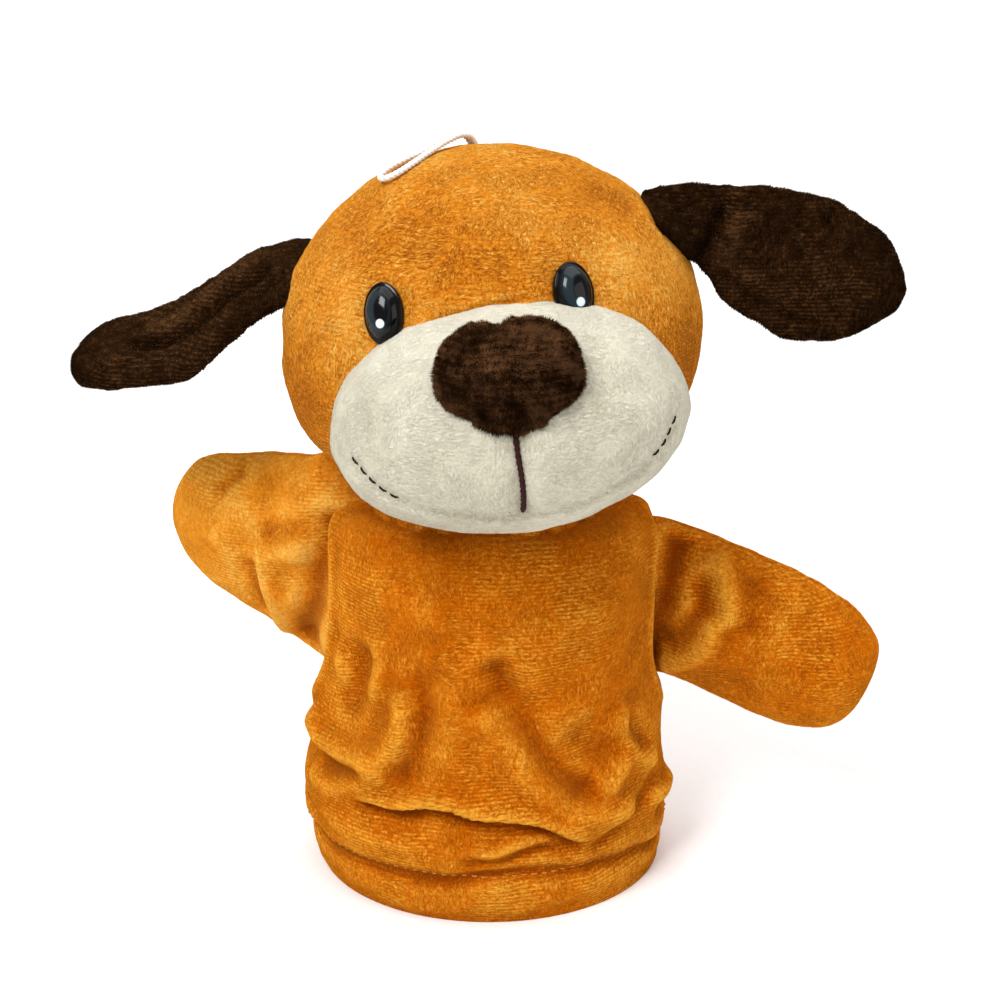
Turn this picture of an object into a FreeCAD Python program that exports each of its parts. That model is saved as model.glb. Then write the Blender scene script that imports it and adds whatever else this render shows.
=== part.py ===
"""A plush dog glove puppet, in millimetres.

The puppet stands on its hem. The origin is the centre of the hem opening, +Z is up and the puppet
faces -Y, so its left hand is on +X. The head turns, leans and looks up a little, and the arms point
different ways, as a puppet does when it is put down.
"""

import FreeCAD, Part
import math
import os

import Sketcher
from FreeCAD import Placement, Rotation, Vector

doc = FreeCAD.newDocument("DogGlovePuppet")
sheet = doc.addObject("Spreadsheet::Sheet", "Sizes")

SIZES = [
    # cloth
    ("fabric", 2.0, "plush fabric with its pile"),
    ("gap", 0.3, "clearance between sewn layers"),
    ("thread", 1.0, "thickness of a sewn thread line"),
    ("reach", 200.0, "half size of the boxes that split a shape"),
    # glove, as half widths and half depths at five heights
    ("hem_high", 0.0, "hem edge"),
    ("hem_wide", 61.0, "half width at the hem"),
    ("hem_deep", 46.0, "half depth at the hem"),
    ("belly_high", 25.0, "widest level of the glove"),
    ("belly_wide", 65.0, "half width there"),
    ("belly_deep", 48.0, "half depth there"),
    ("waist_high", 70.0, "level below the arms"),
    ("waist_wide", 58.0, "half width there"),
    ("waist_deep", 44.0, "half depth there"),
    ("chest_high", 105.0, "level of the arms"),
    ("chest_wide", 56.5, "half width there"),
    ("chest_deep", 41.0, "half depth there"),
    ("collar_high", 128.0, "top edge of the glove"),
    ("collar_wide", 52.0, "half width there"),
    ("collar_deep", 37.0, "half depth there"),
    ("turn_up", 17.0, "height of the turned-up hem"),
    ("seam_start", 3.0, "turned-up hem to the start of a side seam"),
    ("seam_end", 6.0, "end of a side seam to the armhole"),
    # arms
    ("armhole_tall", 36.5, "half height of the armhole"),
    ("armhole_deep", 27.0, "half depth of the armhole"),
    ("binding_tall", 17.0, "half height of the armhole binding"),
    ("binding_deep", 11.0, "half depth of the armhole binding"),
    ("binding_wide", 4.0, "width of the armhole binding"),
    ("arm_start", 17.0, "shoulder to the arm's sewn end"),
    ("arm_tall", 26.5, "half height of the arm at its sewn end"),
    ("arm_deep", 14.5, "half depth of the arm at its sewn end"),
    ("hand_tall", 24.0, "half height of the hand"),
    ("hand_deep", 12.5, "half depth of the hand"),
    ("hand_round", 20.0, "length of the hand's rounded end"),
    ("left_reach", 83.0, "shoulder to the tip of the left hand"),
    ("right_reach", 73.0, "the same on the right, where the sleeve is bunched"),
    # neck
    ("neck_high", 135.0, "level of the neck's centre"),
    ("neck_tall", 8.0, "height of the neck rings"),
    ("ruffle_wide", 40.0, "half width of the gathered collar"),
    ("ruffle_deep", 31.0, "half depth of the gathered collar"),
    ("band_wide", 34.0, "half width of the neck band"),
    ("band_deep", 25.5, "half depth of the neck band"),
    # head
    ("head_wide", 66.0, "half width of the head"),
    ("head_deep", 50.0, "half depth of the head"),
    ("crown_tall", 58.5, "head centre to crown"),
    ("jaw_tall", 46.0, "head centre to the bottom of the head"),
    ("tube_bore", 11.0, "radius inside the finger tube"),
    ("tube_wall", 1.6, "thickness of the finger tube's cloth"),
    ("tube_back", -2.0, "finger tube behind the puppet's centre"),
    ("tube_low", 144.0, "level of the finger tube's mouth"),
    ("tube_tall", 56.0, "length of the finger tube"),
    ("tube_cap", 2.0, "thickness of the finger tube's closed end"),
    ("tube_room", 30.0, "how far the room for the tube runs on below its mouth"),
    # muzzle, nose and mouth, placed from the head's centre
    ("muzzle_wide", 53.3, "half width of the muzzle"),
    ("muzzle_deep", 36.0, "half depth of the muzzle"),
    ("muzzle_tall", 33.4, "half height of the muzzle"),
    ("muzzle_side", 1.5, "muzzle centre to the puppet's left"),
    ("muzzle_ahead", 36.0, "muzzle centre ahead of the head's"),
    ("muzzle_drop", 26.0, "muzzle centre below the head's"),
    ("nose_wide", 20.3, "half width of the nose"),
    ("nose_thick", 10.0, "half thickness of the nose"),
    ("nose_tall", 15.5, "half height of the nose"),
    ("nose_ahead", 69.0, "nose centre ahead of the head's"),
    ("nose_drop", 13.0, "nose centre below the head's"),
    ("mouth_wide", 47.0, "half width of the mouth line"),
    ("mouth_deep", 27.0, "how far the mouth line hangs below the muzzle's centre"),
    # eyes
    ("eye_level", 9.0, "eyes above the head's centre"),
    ("eye_left_side", 25.0, "left eye from the head's middle"),
    ("eye_right_side", 31.0, "right eye from the head's middle"),
    ("eye_stand_off", 0.05, "clearance between an eye and the cloth"),
    ("eye_tall", 9.0, "half height of an eye"),
    ("eye_wide", 6.0, "half width of an eye"),
    ("eye_rim", 0.9, "height of the eye's rim"),
    ("eye_dome", 3.2, "height of the eye's dome above the rim"),
    ("eye_ledge", 0.7, "width of the ledge between rim and dome"),
    ("shank_round", 2.0, "radius of the eye's shank"),
    ("shank_long", 9.0, "length of the eye's shank"),
    ("washer_round", 6.0, "radius of the washer on the shank"),
    ("washer_thick", 1.2, "thickness of the washer"),
    # ears
    ("ear_long", 70.0, "length of an ear"),
    ("ear_fold", 5.5, "strip beside the head that is left free to fold"),
    ("ear_root", 11.0, "half width of the ear where it is sewn on"),
    ("ear_round", 21.5, "radius of the ear's rounded end"),
    ("ear_panel", 1.8, "thickness of an ear panel"),
    ("ear_batting", 3.4, "thickness of the batting in an ear"),
    ("ear_edge", 0.2, "panel edge inside the ear's outline"),
    ("ear_margin", 3.0, "batting edge inside the ear's outline"),
    # hanging loop
    ("cord_round", 1.0, "radius of the hanging loop's cord"),
    ("exit_round", 2.5, "radius of the opening in the crown seam for the cord"),
    ("exit_deep", 8.0, "depth of that opening each side of the seam"),
]

for row, (name, value, meaning) in enumerate(SIZES, 1):
    sheet.set(f"A{row}", name)
    sheet.set(f"B{row}", str(value))
    sheet.set(f"C{row}", meaning)
    sheet.setAlias(f"B{row}", name)
doc.recompute()

UP = Vector(0, 0, 1)
BACK = Vector(0, 1, 0)
LEFT = Vector(1, 0, 0)
INSIDE = "Sizes.fabric"
SEAM_LAYER = "(Sizes.fabric + Sizes.gap)"
STUFFING_LAYER = "(Sizes.fabric + 2 * Sizes.gap + Sizes.thread)"

nodes = {}


def size(name):
    """The value of one cell of the sheet."""
    return float(sheet.get(name))


def bind(thing, **sizes):
    """Binds properties of an object to expressions on the sheet."""
    for prop, rule in sizes.items():
        thing.setExpression(prop, rule)
    return thing


def move(thing, x="0", y="0", z="0"):
    """Binds an object's place to expressions on the sheet."""
    for axis, rule in (("x", x), ("y", y), ("z", z)):
        if rule != "0":
            thing.setExpression(f"Placement.Base.{axis}", rule)
    return thing


def finished(label, thing, place=None):
    """Names a finished piece, puts it in its place and adds it to the puppet."""
    thing.Label = label
    if place is not None:
        thing.Placement = place
    nodes[label] = thing
    return thing


# ---- building blocks -------------------------------------------------------------------------


def cut(name, base, *tools):
    """What is left of base once each tool is taken away."""
    for number, tool in enumerate(tools):
        result = doc.addObject("Part::Cut", f"{name}_cut_{number}")
        result.Base = base
        result.Tool = tool
        base = result
    return base


def common(name, *shapes):
    """The space that all the shapes share."""
    result = doc.addObject("Part::MultiCommon", f"{name}_common")
    result.Shapes = list(shapes)
    return result


def fuse(name, *shapes):
    """One solid of all the shapes."""
    result = doc.addObject("Part::MultiFuse", f"{name}_fuse")
    result.Shapes = list(shapes)
    return result


def ellipsoid(name, wide, deep, tall, low=-90, high=90):
    """An ellipsoid from its half sizes along X, Y and Z, between two latitudes."""
    solid = doc.addObject("Part::Ellipsoid", name)
    solid.Angle1 = low
    solid.Angle2 = high
    return bind(solid, Radius1=tall, Radius2=wide, Radius3=deep)


def cylinder(name, radius, length):
    """A round bar along Z from the origin."""
    return bind(doc.addObject("Part::Cylinder", name), Radius=radius, Height=length)


def box(name, low, high):
    """A box between two corners, each given as three expressions."""
    solid = doc.addObject("Part::Box", name)
    spans = [f"({h}) - ({lo})" for lo, h in zip(low, high)]
    bind(solid, Length=spans[0], Width=spans[1], Height=spans[2])
    return move(solid, *low)


def oval_loft(name, rings):
    """A solid through ovals in planes of constant Z, each (height, long half, short half)."""
    ovals = []
    for number, (height, long_half, short_half) in enumerate(rings):
        oval = doc.addObject("Part::Ellipse", f"{name}_oval_{number}")
        bind(oval, MajorRadius=long_half, MinorRadius=short_half)
        ovals.append(move(oval, z=height))
    solid = doc.addObject("Part::Loft", f"{name}_loft")
    solid.Sections = ovals
    solid.Solid = True
    return solid


REACH = "Sizes.reach"
FAR = f"-{REACH}"
# The cloth is halved front from back. Where a loft's own edge lies at Y = 0 the back starts there.
front_half = box("front_half", (FAR, FAR, FAR), (REACH, "-Sizes.gap", REACH))
back_half = box("back_half", (FAR, "Sizes.gap / 2", FAR), (REACH, REACH, REACH))
back_from_middle = box("back_from_middle", (FAR, "0", FAR), (REACH, REACH, REACH))
THREAD = "Sizes.thread / 2"
thread_slab = box("thread_slab", (FAR, f"-{THREAD}", FAR), (REACH, THREAD, REACH))


# ---- glove ------------------------------------------------------------------------------------

LEVELS = ("hem", "belly", "waist", "chest", "collar")


def glove_form(name, inset):
    """The glove's outer form, drawn in by an inset all round."""
    rings = [
        (f"Sizes.{level}_high", f"Sizes.{level}_wide - {inset}", f"Sizes.{level}_deep - {inset}")
        for level in LEVELS
    ]
    return oval_loft(name, rings)


# A shoulder's pivot, and where its arm points: up from level, and forward from straight out.
SHOULDERS = {
    "left": {"pivot": Vector(52, 0, 100), "sign": 1, "raised": -21.0, "forward": 6.0},
    "right": {"pivot": Vector(-48, 2, 98), "sign": -1, "raised": 20.0, "forward": -28.0},
}


def shoulder_frame(side):
    """The shoulder's place, with Z pointing straight out to that side and X up or down."""
    pivot = SHOULDERS[side]["pivot"]
    out = LEFT * SHOULDERS[side]["sign"]
    up = UP * -SHOULDERS[side]["sign"]
    return Placement(pivot, Rotation(up, BACK, out, "ZXY"))


def armhole(side):
    """The opening in the side of the glove that one arm is sewn into."""
    tall, deep = "Sizes.armhole_tall", "Sizes.armhole_deep"
    rings = [("-Sizes.arm_start", tall, deep), ("2 * Sizes.arm_start", tall, deep)]
    hole = oval_loft(f"armhole_{side}", rings)
    hole.Placement = shoulder_frame(side)
    return hole


def make_glove():
    outer = glove_form("glove_outer", "0")
    above_turn_up = box("above_turn_up", (FAR, FAR, "Sizes.turn_up"), (REACH, REACH, REACH))
    single = common("single_cloth", glove_form("glove_single", INSIDE), above_turn_up)
    double = cut("double_cloth", glove_form("glove_double", f"2 * {INSIDE}"), above_turn_up)
    holes = [armhole(side) for side in SHOULDERS]
    shell = cut("glove", outer, single, double, *holes)
    finished("glove_front_panel", common("glove_front", shell, front_half))
    finished("glove_back_panel", common("glove_back", shell, back_from_middle))

    lining = cut("seam_layer", glove_form("layer_outer", SEAM_LAYER),
                 glove_form("layer_inner", f"({SEAM_LAYER} + Sizes.thread)"))
    hem_low = "Sizes.turn_up + Sizes.gap"
    hem_line = box("hem_line", (FAR, FAR, hem_low), (REACH, REACH, f"{hem_low} + Sizes.thread"))
    finished("hem_stitching", common("hem_stitching", lining, hem_line))

    seam_low = "Sizes.turn_up + Sizes.seam_start"
    seam_high = "Sizes.chest_high - Sizes.armhole_tall - Sizes.seam_end"
    for side, low, high in (("left", "0", REACH), ("right", FAR, "0")):
        line = box(f"side_line_{side}", (low, f"-{THREAD}", seam_low), (high, THREAD, seam_high))
        finished(f"side_seam_thread_{side}", common(f"side_seam_{side}", lining, line))


# ---- arms -------------------------------------------------------------------------------------


def arm_form(name, side, inset):
    """An arm along Z from its shoulder: an oval sleeve that ends in a rounded hand."""
    wrist = f"Sizes.{side}_reach - Sizes.hand_round"
    tall, deep = f"Sizes.arm_tall - {inset}", f"Sizes.arm_deep - {inset}"
    hand_tall, hand_deep = f"Sizes.hand_tall - {inset}", f"Sizes.hand_deep - {inset}"
    sleeve = oval_loft(name, [
        ("Sizes.arm_start", tall, deep),
        (f"(Sizes.arm_start + {wrist}) / 2", tall, deep),
        (wrist, hand_tall, hand_deep),
    ])
    tip = ellipsoid(f"{name}_tip", hand_tall, hand_deep, f"Sizes.hand_round - {inset}", low=0)
    move(tip, z=wrist)
    return fuse(name, sleeve, tip)


def arm_frame(side):
    """The arm's place, with Z along the arm, Y to the puppet's back and X up or down."""
    shoulder = SHOULDERS[side]
    raised = math.radians(shoulder["raised"])
    forward = math.radians(shoulder["forward"])
    along = Vector(shoulder["sign"] * math.cos(raised) * math.cos(forward),
                   -math.cos(raised) * math.sin(forward),
                   math.sin(raised))
    up = UP * -shoulder["sign"]
    return Placement(shoulder["pivot"], Rotation(up, BACK, along, "ZXY"))


def make_arm(side):
    place = arm_frame(side)
    shell = cut(f"arm_{side}", arm_form(f"arm_{side}_outer", side, "0"),
                arm_form(f"arm_{side}_inner", side, INSIDE))
    finished(f"arm_{side}_front_panel", common(f"arm_{side}_front", shell, front_half), place)
    finished(f"arm_{side}_back_panel", common(f"arm_{side}_back", shell, back_half), place)

    layer = cut(f"arm_{side}_layer", arm_form(f"arm_{side}_layer_outer", side, SEAM_LAYER),
                arm_form(f"arm_{side}_layer_inner", side, f"({SEAM_LAYER} + Sizes.thread)"))
    finished(f"arm_{side}_seam_thread", common(f"arm_{side}_thread", layer, thread_slab), place)

    half = "Sizes.binding_wide / 2"
    rim = oval_loft(f"binding_{side}_outer", [
        (f"-{half}", "Sizes.binding_tall", "Sizes.binding_deep"),
        (half, "Sizes.binding_tall", "Sizes.binding_deep"),
    ])
    bore = oval_loft(f"binding_{side}_inner", [
        (f"-{half}", f"Sizes.binding_tall - {INSIDE}", f"Sizes.binding_deep - {INSIDE}"),
        (half, f"Sizes.binding_tall - {INSIDE}", f"Sizes.binding_deep - {INSIDE}"),
    ])
    finished(f"armhole_binding_{side}", cut(f"binding_{side}", rim, bore), shoulder_frame(side))


# ---- neck -------------------------------------------------------------------------------------


def neck_ring(label, wide, deep):
    """An oval ring of cloth round the neck, one fabric thick."""
    low = "Sizes.neck_high - Sizes.neck_tall / 2"
    high = "Sizes.neck_high + Sizes.neck_tall / 2"
    outer = oval_loft(f"{label}_outer", [(low, wide, deep), (high, wide, deep)])
    inner = oval_loft(f"{label}_inner", [
        (low, f"{wide} - {INSIDE}", f"{deep} - {INSIDE}"),
        (high, f"{wide} - {INSIDE}", f"{deep} - {INSIDE}"),
    ])
    finished(label, cut(label, outer, inner))


def make_neck():
    neck_ring("neck_collar", "Sizes.ruffle_wide", "Sizes.ruffle_deep")
    neck_ring("neck_band", "Sizes.band_wide", "Sizes.band_deep")


# ---- head -------------------------------------------------------------------------------------

# The cord leaves the crown seam, stands up, folds over and lies forward to the right, turns round
# an open eye and comes back beside itself.
LOOP_ROUTE = [Vector(*point) for point in (
    (-3.2, 9.8, 246.4),
    (-3.8, 9.0, 250.4),
    (-7.4, 5.0, 252.6),
    (-12.4, -1.0, 251.2),
    (-17.4, -7.0, 248.9),
    (-21.4, -11.8, 246.9),
    (-25.8, -15.4, 244.6),
    (-30.2, -16.0, 242.6),
    (-32.4, -12.8, 242.4),
    (-29.8, -8.8, 244.4),
    (-24.8, -6.9, 246.8),
    (-19.2, -5.4, 248.9),
    (-14.2, 0.5, 251.2),
    (-9.1, 6.5, 252.6),
    (-5.3, 10.6, 250.4),
    (-4.7, 11.4, 246.4),
)]

# The head's centre, and its turn to the puppet's left, its lean to the right and its look up.
HEAD = Placement(Vector(1, -6, 192), Rotation(4.0, -6.0, -17.0))


def egg(name, inset):
    """The head: wide at the cheeks, taller above its centre than below it."""
    wide, deep = f"Sizes.head_wide - {inset}", f"Sizes.head_deep - {inset}"
    crown = ellipsoid(f"{name}_crown", wide, deep, f"Sizes.crown_tall - {inset}", low=0)
    jaw = ellipsoid(f"{name}_jaw", wide, deep, f"Sizes.jaw_tall - {inset}", high=0)
    return fuse(name, crown, jaw)


def on_head(x, z):
    """A place on the front of the head, with Z pointing out of the cloth and X up it."""
    wide, deep, crown = size("head_wide"), size("head_deep"), size("crown_tall")
    y = -deep * math.sqrt(1 - (x / wide) ** 2 - (z / crown) ** 2)
    outward = Vector(x / wide ** 2, y / deep ** 2, z / crown ** 2)
    outward.normalize()
    return Placement(Vector(x, y, z), Rotation(UP, Vector(0, 0, 0), outward, "ZXY"))


EYES = {
    "left": on_head(size("eye_left_side"), size("eye_level")),
    "right": on_head(-size("eye_right_side"), size("eye_level")),
}


def outward(distance):
    """A shift along Z."""
    return Placement(UP * distance, Rotation())


def finger_space(name, radius, above=0.0, below=0.0):
    """A bar on the forefinger's line, upright in the puppet's frame and kept in the head's.

    It runs on past the tube's closed end and past its mouth by the two lengths given."""
    mouth = Vector(0, size("tube_back"), size("tube_low") - below)
    bar = cylinder(name, radius, f"Sizes.tube_tall + {above + below}")
    bar.Placement = HEAD.inverse() * Placement(mouth, Rotation())
    return bar


def make_eye(side, panel_hole, stuffing_hole):
    """A moulded eye with its shank, and the washer that holds it on."""
    place = EYES[side] * outward(size("eye_stand_off"))
    tall, wide = "Sizes.eye_tall", "Sizes.eye_wide"
    rim = oval_loft(f"eye_rim_{side}", [("0", tall, wide), ("Sizes.eye_rim", tall, wide)])
    dome = ellipsoid(f"eye_dome_{side}", f"{tall} - Sizes.eye_ledge", f"{wide} - Sizes.eye_ledge",
                     "Sizes.eye_dome", low=0)
    move(dome, z="Sizes.eye_rim")
    shank = cylinder(f"eye_shank_{side}", "Sizes.shank_round", "Sizes.shank_long + Sizes.eye_rim")
    move(shank, z="-Sizes.shank_long")
    finished(f"eye_{side}", fuse(f"eye_{side}", rim, dome, shank), HEAD * place)

    depth = "Sizes.fabric + 2 * Sizes.gap + Sizes.washer_thick"
    disc = cylinder(f"washer_disc_{side}", "Sizes.washer_round", "Sizes.washer_thick")
    bore = cylinder(f"washer_bore_{side}", "Sizes.shank_round + Sizes.gap / 2", "4 * Sizes.fabric")
    for thing in (disc, bore):
        move(thing, z=f"-({depth})")
    finished(f"eye_washer_{side}", cut(f"eye_washer_{side}", disc, bore), HEAD * place)

    for hole in (panel_hole, stuffing_hole):
        hole.Placement = EYES[side] * outward(-size("shank_long") - size("fabric"))


def make_head():
    tube = finger_space("tube_clearance", "Sizes.tube_bore + Sizes.tube_wall + Sizes.gap",
                        above=size("gap"), below=size("tube_room"))
    panel_holes, stuffing_holes = [], []
    hole_long = "Sizes.shank_long + 3 * Sizes.fabric"
    for side in EYES:
        panel_holes.append(cylinder(f"shank_hole_{side}", "Sizes.shank_round + Sizes.gap", hole_long))
        stuffing_holes.append(
            cylinder(f"washer_room_{side}", "Sizes.washer_round + Sizes.gap", hole_long))
        make_eye(side, panel_holes[-1], stuffing_holes[-1])

    cord_exit = cylinder("cord_exit", "Sizes.exit_round", "2 * Sizes.exit_deep")
    seam_opening = Placement((LOOP_ROUTE[0] + LOOP_ROUTE[-1]) / 2, Rotation())
    cord_exit.Placement = HEAD.inverse() * seam_opening * outward(-size("exit_deep"))

    shell = cut("head_shell", egg("head_outer", "0"), egg("head_inner", INSIDE), tube, cord_exit)
    front = common("head_front", shell, front_half)
    finished("head_front_panel", cut("head_front_holes", front, *panel_holes), HEAD)
    finished("head_back_panel", common("head_back", shell, back_half), HEAD)

    layer = cut("crown_layer", egg("crown_layer_outer", SEAM_LAYER),
                egg("crown_layer_inner", f"({SEAM_LAYER} + Sizes.thread)"), tube, cord_exit)
    finished("head_seam_thread", common("head_seam", layer, thread_slab), HEAD)

    filling = cut("head_filling", egg("head_filling", STUFFING_LAYER), tube, cord_exit,
                  *stuffing_holes)
    finished("head_stuffing", filling, HEAD)

    cloth = finger_space("tube_cloth", "Sizes.tube_bore + Sizes.tube_wall")
    bore = finger_space("tube_bore_space", "Sizes.tube_bore",
                        above=-size("tube_cap"), below=size("gap"))
    finished("head_finger_tube", cut("finger_tube", cloth, bore), HEAD)
    return tube


def muzzle_form(name, inset):
    """The muzzle's form, drawn in by an inset all round."""
    form = ellipsoid(name, f"Sizes.muzzle_wide - {inset}", f"Sizes.muzzle_deep - {inset}",
                     f"Sizes.muzzle_tall - {inset}")
    return move(form, "Sizes.muzzle_side", "-Sizes.muzzle_ahead", "-Sizes.muzzle_drop")


def nose_form(name, inset):
    """The nose's form, drawn in by an inset all round."""
    form = ellipsoid(name, f"Sizes.nose_wide - {inset}", f"Sizes.nose_thick - {inset}",
                     f"Sizes.nose_tall - {inset}")
    return move(form, "Sizes.muzzle_side", "-Sizes.nose_ahead", "-Sizes.nose_drop")


def mouth_oval(name, inset):
    """An upright oval bar through the muzzle, along the head's Y."""
    bar = oval_loft(name, [
        ("0", f"Sizes.mouth_wide - {inset}", f"Sizes.mouth_deep - {inset}"),
        ("2 * Sizes.muzzle_deep", f"Sizes.mouth_wide - {inset}", f"Sizes.mouth_deep - {inset}"),
    ])
    centre = Vector(size("muzzle_side"), -size("muzzle_ahead"), -size("muzzle_drop"))
    bar.Placement = Placement(centre, Rotation(LEFT, 90))
    return bar


def eye_clearance(side):
    """The room round an eye, which the edge of the muzzle gives way to."""
    tall, wide = "Sizes.eye_tall + Sizes.gap", "Sizes.eye_wide + Sizes.gap"
    room = oval_loft(f"eye_room_{side}", [("0", tall, wide), ("Sizes.muzzle_deep", tall, wide)])
    room.Placement = EYES[side]
    return room


def make_muzzle(tube):
    rooms = [egg("head_clearance", "(-Sizes.gap)"), tube] + [eye_clearance(side) for side in EYES]
    cover = cut("muzzle_cover", muzzle_form("muzzle_outer", "0"),
                muzzle_form("muzzle_inner", INSIDE), *rooms)
    finished("muzzle_cover", cover, HEAD)
    filling = cut("muzzle_filling", muzzle_form("muzzle_filling", SEAM_LAYER), *rooms)
    finished("muzzle_stuffing", filling, HEAD)

    muzzle_clearance = muzzle_form("muzzle_clearance", "(-Sizes.gap)")
    finished("nose_cover", cut("nose_cover", nose_form("nose_outer", "0"),
                               nose_form("nose_inner", INSIDE), muzzle_clearance), HEAD)
    finished("nose_stuffing", cut("nose_filling", nose_form("nose_filling", SEAM_LAYER),
                                  muzzle_clearance), HEAD)

    thread_layer = cut("thread_layer", muzzle_form("thread_outer", "(-Sizes.gap - Sizes.thread)"),
                       muzzle_clearance)
    chin = "-Sizes.muzzle_drop - Sizes.mouth_deep + 2 * Sizes.thread"
    lip = "-Sizes.nose_drop - Sizes.nose_tall - Sizes.thread"
    line = box("philtrum_line", (f"Sizes.muzzle_side - {THREAD}", FAR, chin),
               (f"Sizes.muzzle_side + {THREAD}", "-Sizes.muzzle_ahead", lip))
    finished("philtrum_thread", common("philtrum", thread_layer, line), HEAD)

    ring = cut("mouth_ring", mouth_oval("mouth_outer", "0"), mouth_oval("mouth_inner", "Sizes.thread"))
    smile = box("smile", (FAR, FAR, FAR),
                (REACH, "-Sizes.muzzle_ahead", "-Sizes.muzzle_drop - 3 * Sizes.thread"))
    finished("mouth_thread", common("mouth", thread_layer, ring, smile), HEAD)


# ---- ears -------------------------------------------------------------------------------------

# Where each ear is sewn on, the way it points, and the way its sewn edge runs. The right ear is
# twisted, so that its front panel faces up.
EARS = {
    "left": {"root": Vector(63.5, -4, 224), "along": Vector(0.95, -0.06, -0.31),
             "across": Vector(0.30, 0.10, 0.95)},
    "right": {"root": Vector(-63, 2, 211), "along": Vector(-0.91, -0.09, -0.41),
              "across": Vector(0.10, -0.96, -0.25)},
}


def ear_outline(sketch, margin):
    """Straight sides that run from the sewn edge to a large round end, drawn in by a margin."""
    start = size("ear_fold") + size(margin)
    root = size("ear_root") - size(margin)
    radius = size("ear_round") - size(margin)
    centre = size("ear_long") - size("ear_round")
    run = centre - start
    turn = math.pi - math.atan2(root, run) - math.acos(radius / math.hypot(run, root))
    touch = Vector(centre + radius * math.cos(turn), radius * math.sin(turn), 0)
    low_touch = Vector(touch.x, -touch.y, 0)
    corner, low_corner = Vector(start, root, 0), Vector(start, -root, 0)
    end = Part.Circle(Vector(centre, 0, 0), UP, radius)
    sketch.addGeometry([
        Part.LineSegment(corner, touch),
        Part.ArcOfCircle(end, -turn, turn),
        Part.LineSegment(low_touch, low_corner),
        Part.LineSegment(low_corner, corner),
    ])
    for rule in (("Tangent", 0, 2, 1, 2), ("Tangent", 1, 1, 2, 1), ("Coincident", 2, 2, 3, 1),
                 ("Coincident", 3, 2, 0, 1), ("Symmetric", 2, 2, 0, 1, -1),
                 ("PointOnObject", 1, 3, -1)):
        sketch.addConstraint(Sketcher.Constraint(*rule))
    for rule, length, cells in (
        (("Radius", 1), radius, f"Sizes.ear_round - Sizes.{margin}"),
        (("DistanceX", -1, 1, 1, 3), centre, "Sizes.ear_long - Sizes.ear_round"),
        (("DistanceX", -1, 1, 0, 1), start, f"Sizes.ear_fold + Sizes.{margin}"),
        (("DistanceY", -1, 1, 0, 1), root, f"Sizes.ear_root - Sizes.{margin}"),
    ):
        number = sketch.addConstraint(Sketcher.Constraint(*rule, length))
        sketch.setExpression(f"Constraints[{number}]", cells)


def ear_layer(label, low, thick, margin):
    """One flat layer of an ear: an outline padded to the thickness of its cloth."""
    body = doc.addObject("PartDesign::Body", f"{label}_body")
    sketch = body.newObject("Sketcher::SketchObject", f"{label}_outline")
    plane = [p for p in body.Origin.OriginFeatures if p.Role == "XY_Plane"][0]
    sketch.AttachmentSupport = [(plane, "")]
    sketch.MapMode = "FlatFace"
    sketch.setExpression("AttachmentOffset.Base.z", low)
    ear_outline(sketch, margin)
    pad = body.newObject("PartDesign::Pad", f"{label}_pad")
    pad.Profile = sketch
    pad.setExpression("Length", thick)
    return body


def make_ear(side):
    ear = EARS[side]
    face = ear["along"].cross(ear["across"])
    place = Placement(ear["root"], Rotation(ear["along"], ear["across"], face, "XYZ"))
    half = "Sizes.ear_batting / 2"
    layers = (
        ("batting", f"-{half}", "Sizes.ear_batting", "ear_margin"),
        ("front_panel", f"{half} + Sizes.gap", "Sizes.ear_panel", "ear_edge"),
        ("back_panel", f"-{half} - Sizes.gap - Sizes.ear_panel", "Sizes.ear_panel", "ear_edge"),
    )
    for layer, low, thick, margin in layers:
        label = f"ear_{side}_{layer}"
        finished(label, ear_layer(label, low, thick, margin), place)


# ---- hanging loop -----------------------------------------------------------------------------


# How much of the shorter run beside a corner its arc takes up.
CORNER_SHARE = 0.45


def rounded_path(route):
    """A path of straight runs joined by tangent arcs, each as large as its runs allow."""
    edges, radii = [], []
    start = route[0]
    for before, corner, after in zip(route, route[1:], route[2:]):
        back_way = (before - corner).normalize()
        on_way = (after - corner).normalize()
        half_turn = (math.pi - back_way.getAngle(on_way)) / 2
        trim = CORNER_SHARE * min((before - corner).Length, (after - corner).Length)
        radius = trim / math.tan(half_turn)
        bisector = (back_way + on_way).normalize()
        centre = corner + bisector * (radius / math.cos(half_turn))
        arc_start, arc_end = corner + back_way * trim, corner + on_way * trim
        edges.append(Part.LineSegment(start, arc_start).toShape())
        edges.append(Part.Arc(arc_start, centre - bisector * radius, arc_end).toShape())
        radii.append(radius)
        start = arc_end
    edges.append(Part.LineSegment(start, route[-1]).toShape())
    return Part.Wire(edges), radii


def make_hang_loop():
    path, radii = rounded_path(LOOP_ROUTE)
    first_way = (LOOP_ROUTE[1] - LOOP_ROUTE[0]).normalize()
    section = Part.Wire(Part.Circle(LOOP_ROUTE[0], first_way, size("cord_round")).toShape())
    loop = doc.addObject("Part::Feature", "hang_loop")
    loop.Shape = path.makePipeShell([section], True, False)
    finished("hang_loop", loop)
    expected = math.pi * size("cord_round") ** 2 * path.Length
    print(f"loop: {path.Length:.1f} mm long, volume {loop.Shape.Volume:.1f} against {expected:.1f}, "
          f"radii {', '.join(f'{radius:.1f}' for radius in radii)} mm")


# ---- build ------------------------------------------------------------------------------------

make_glove()
for shoulder_side in SHOULDERS:
    make_arm(shoulder_side)
make_neck()
make_muzzle(make_head())
for ear_side in EARS:
    make_ear(ear_side)
make_hang_loop()
doc.recompute()

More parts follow.
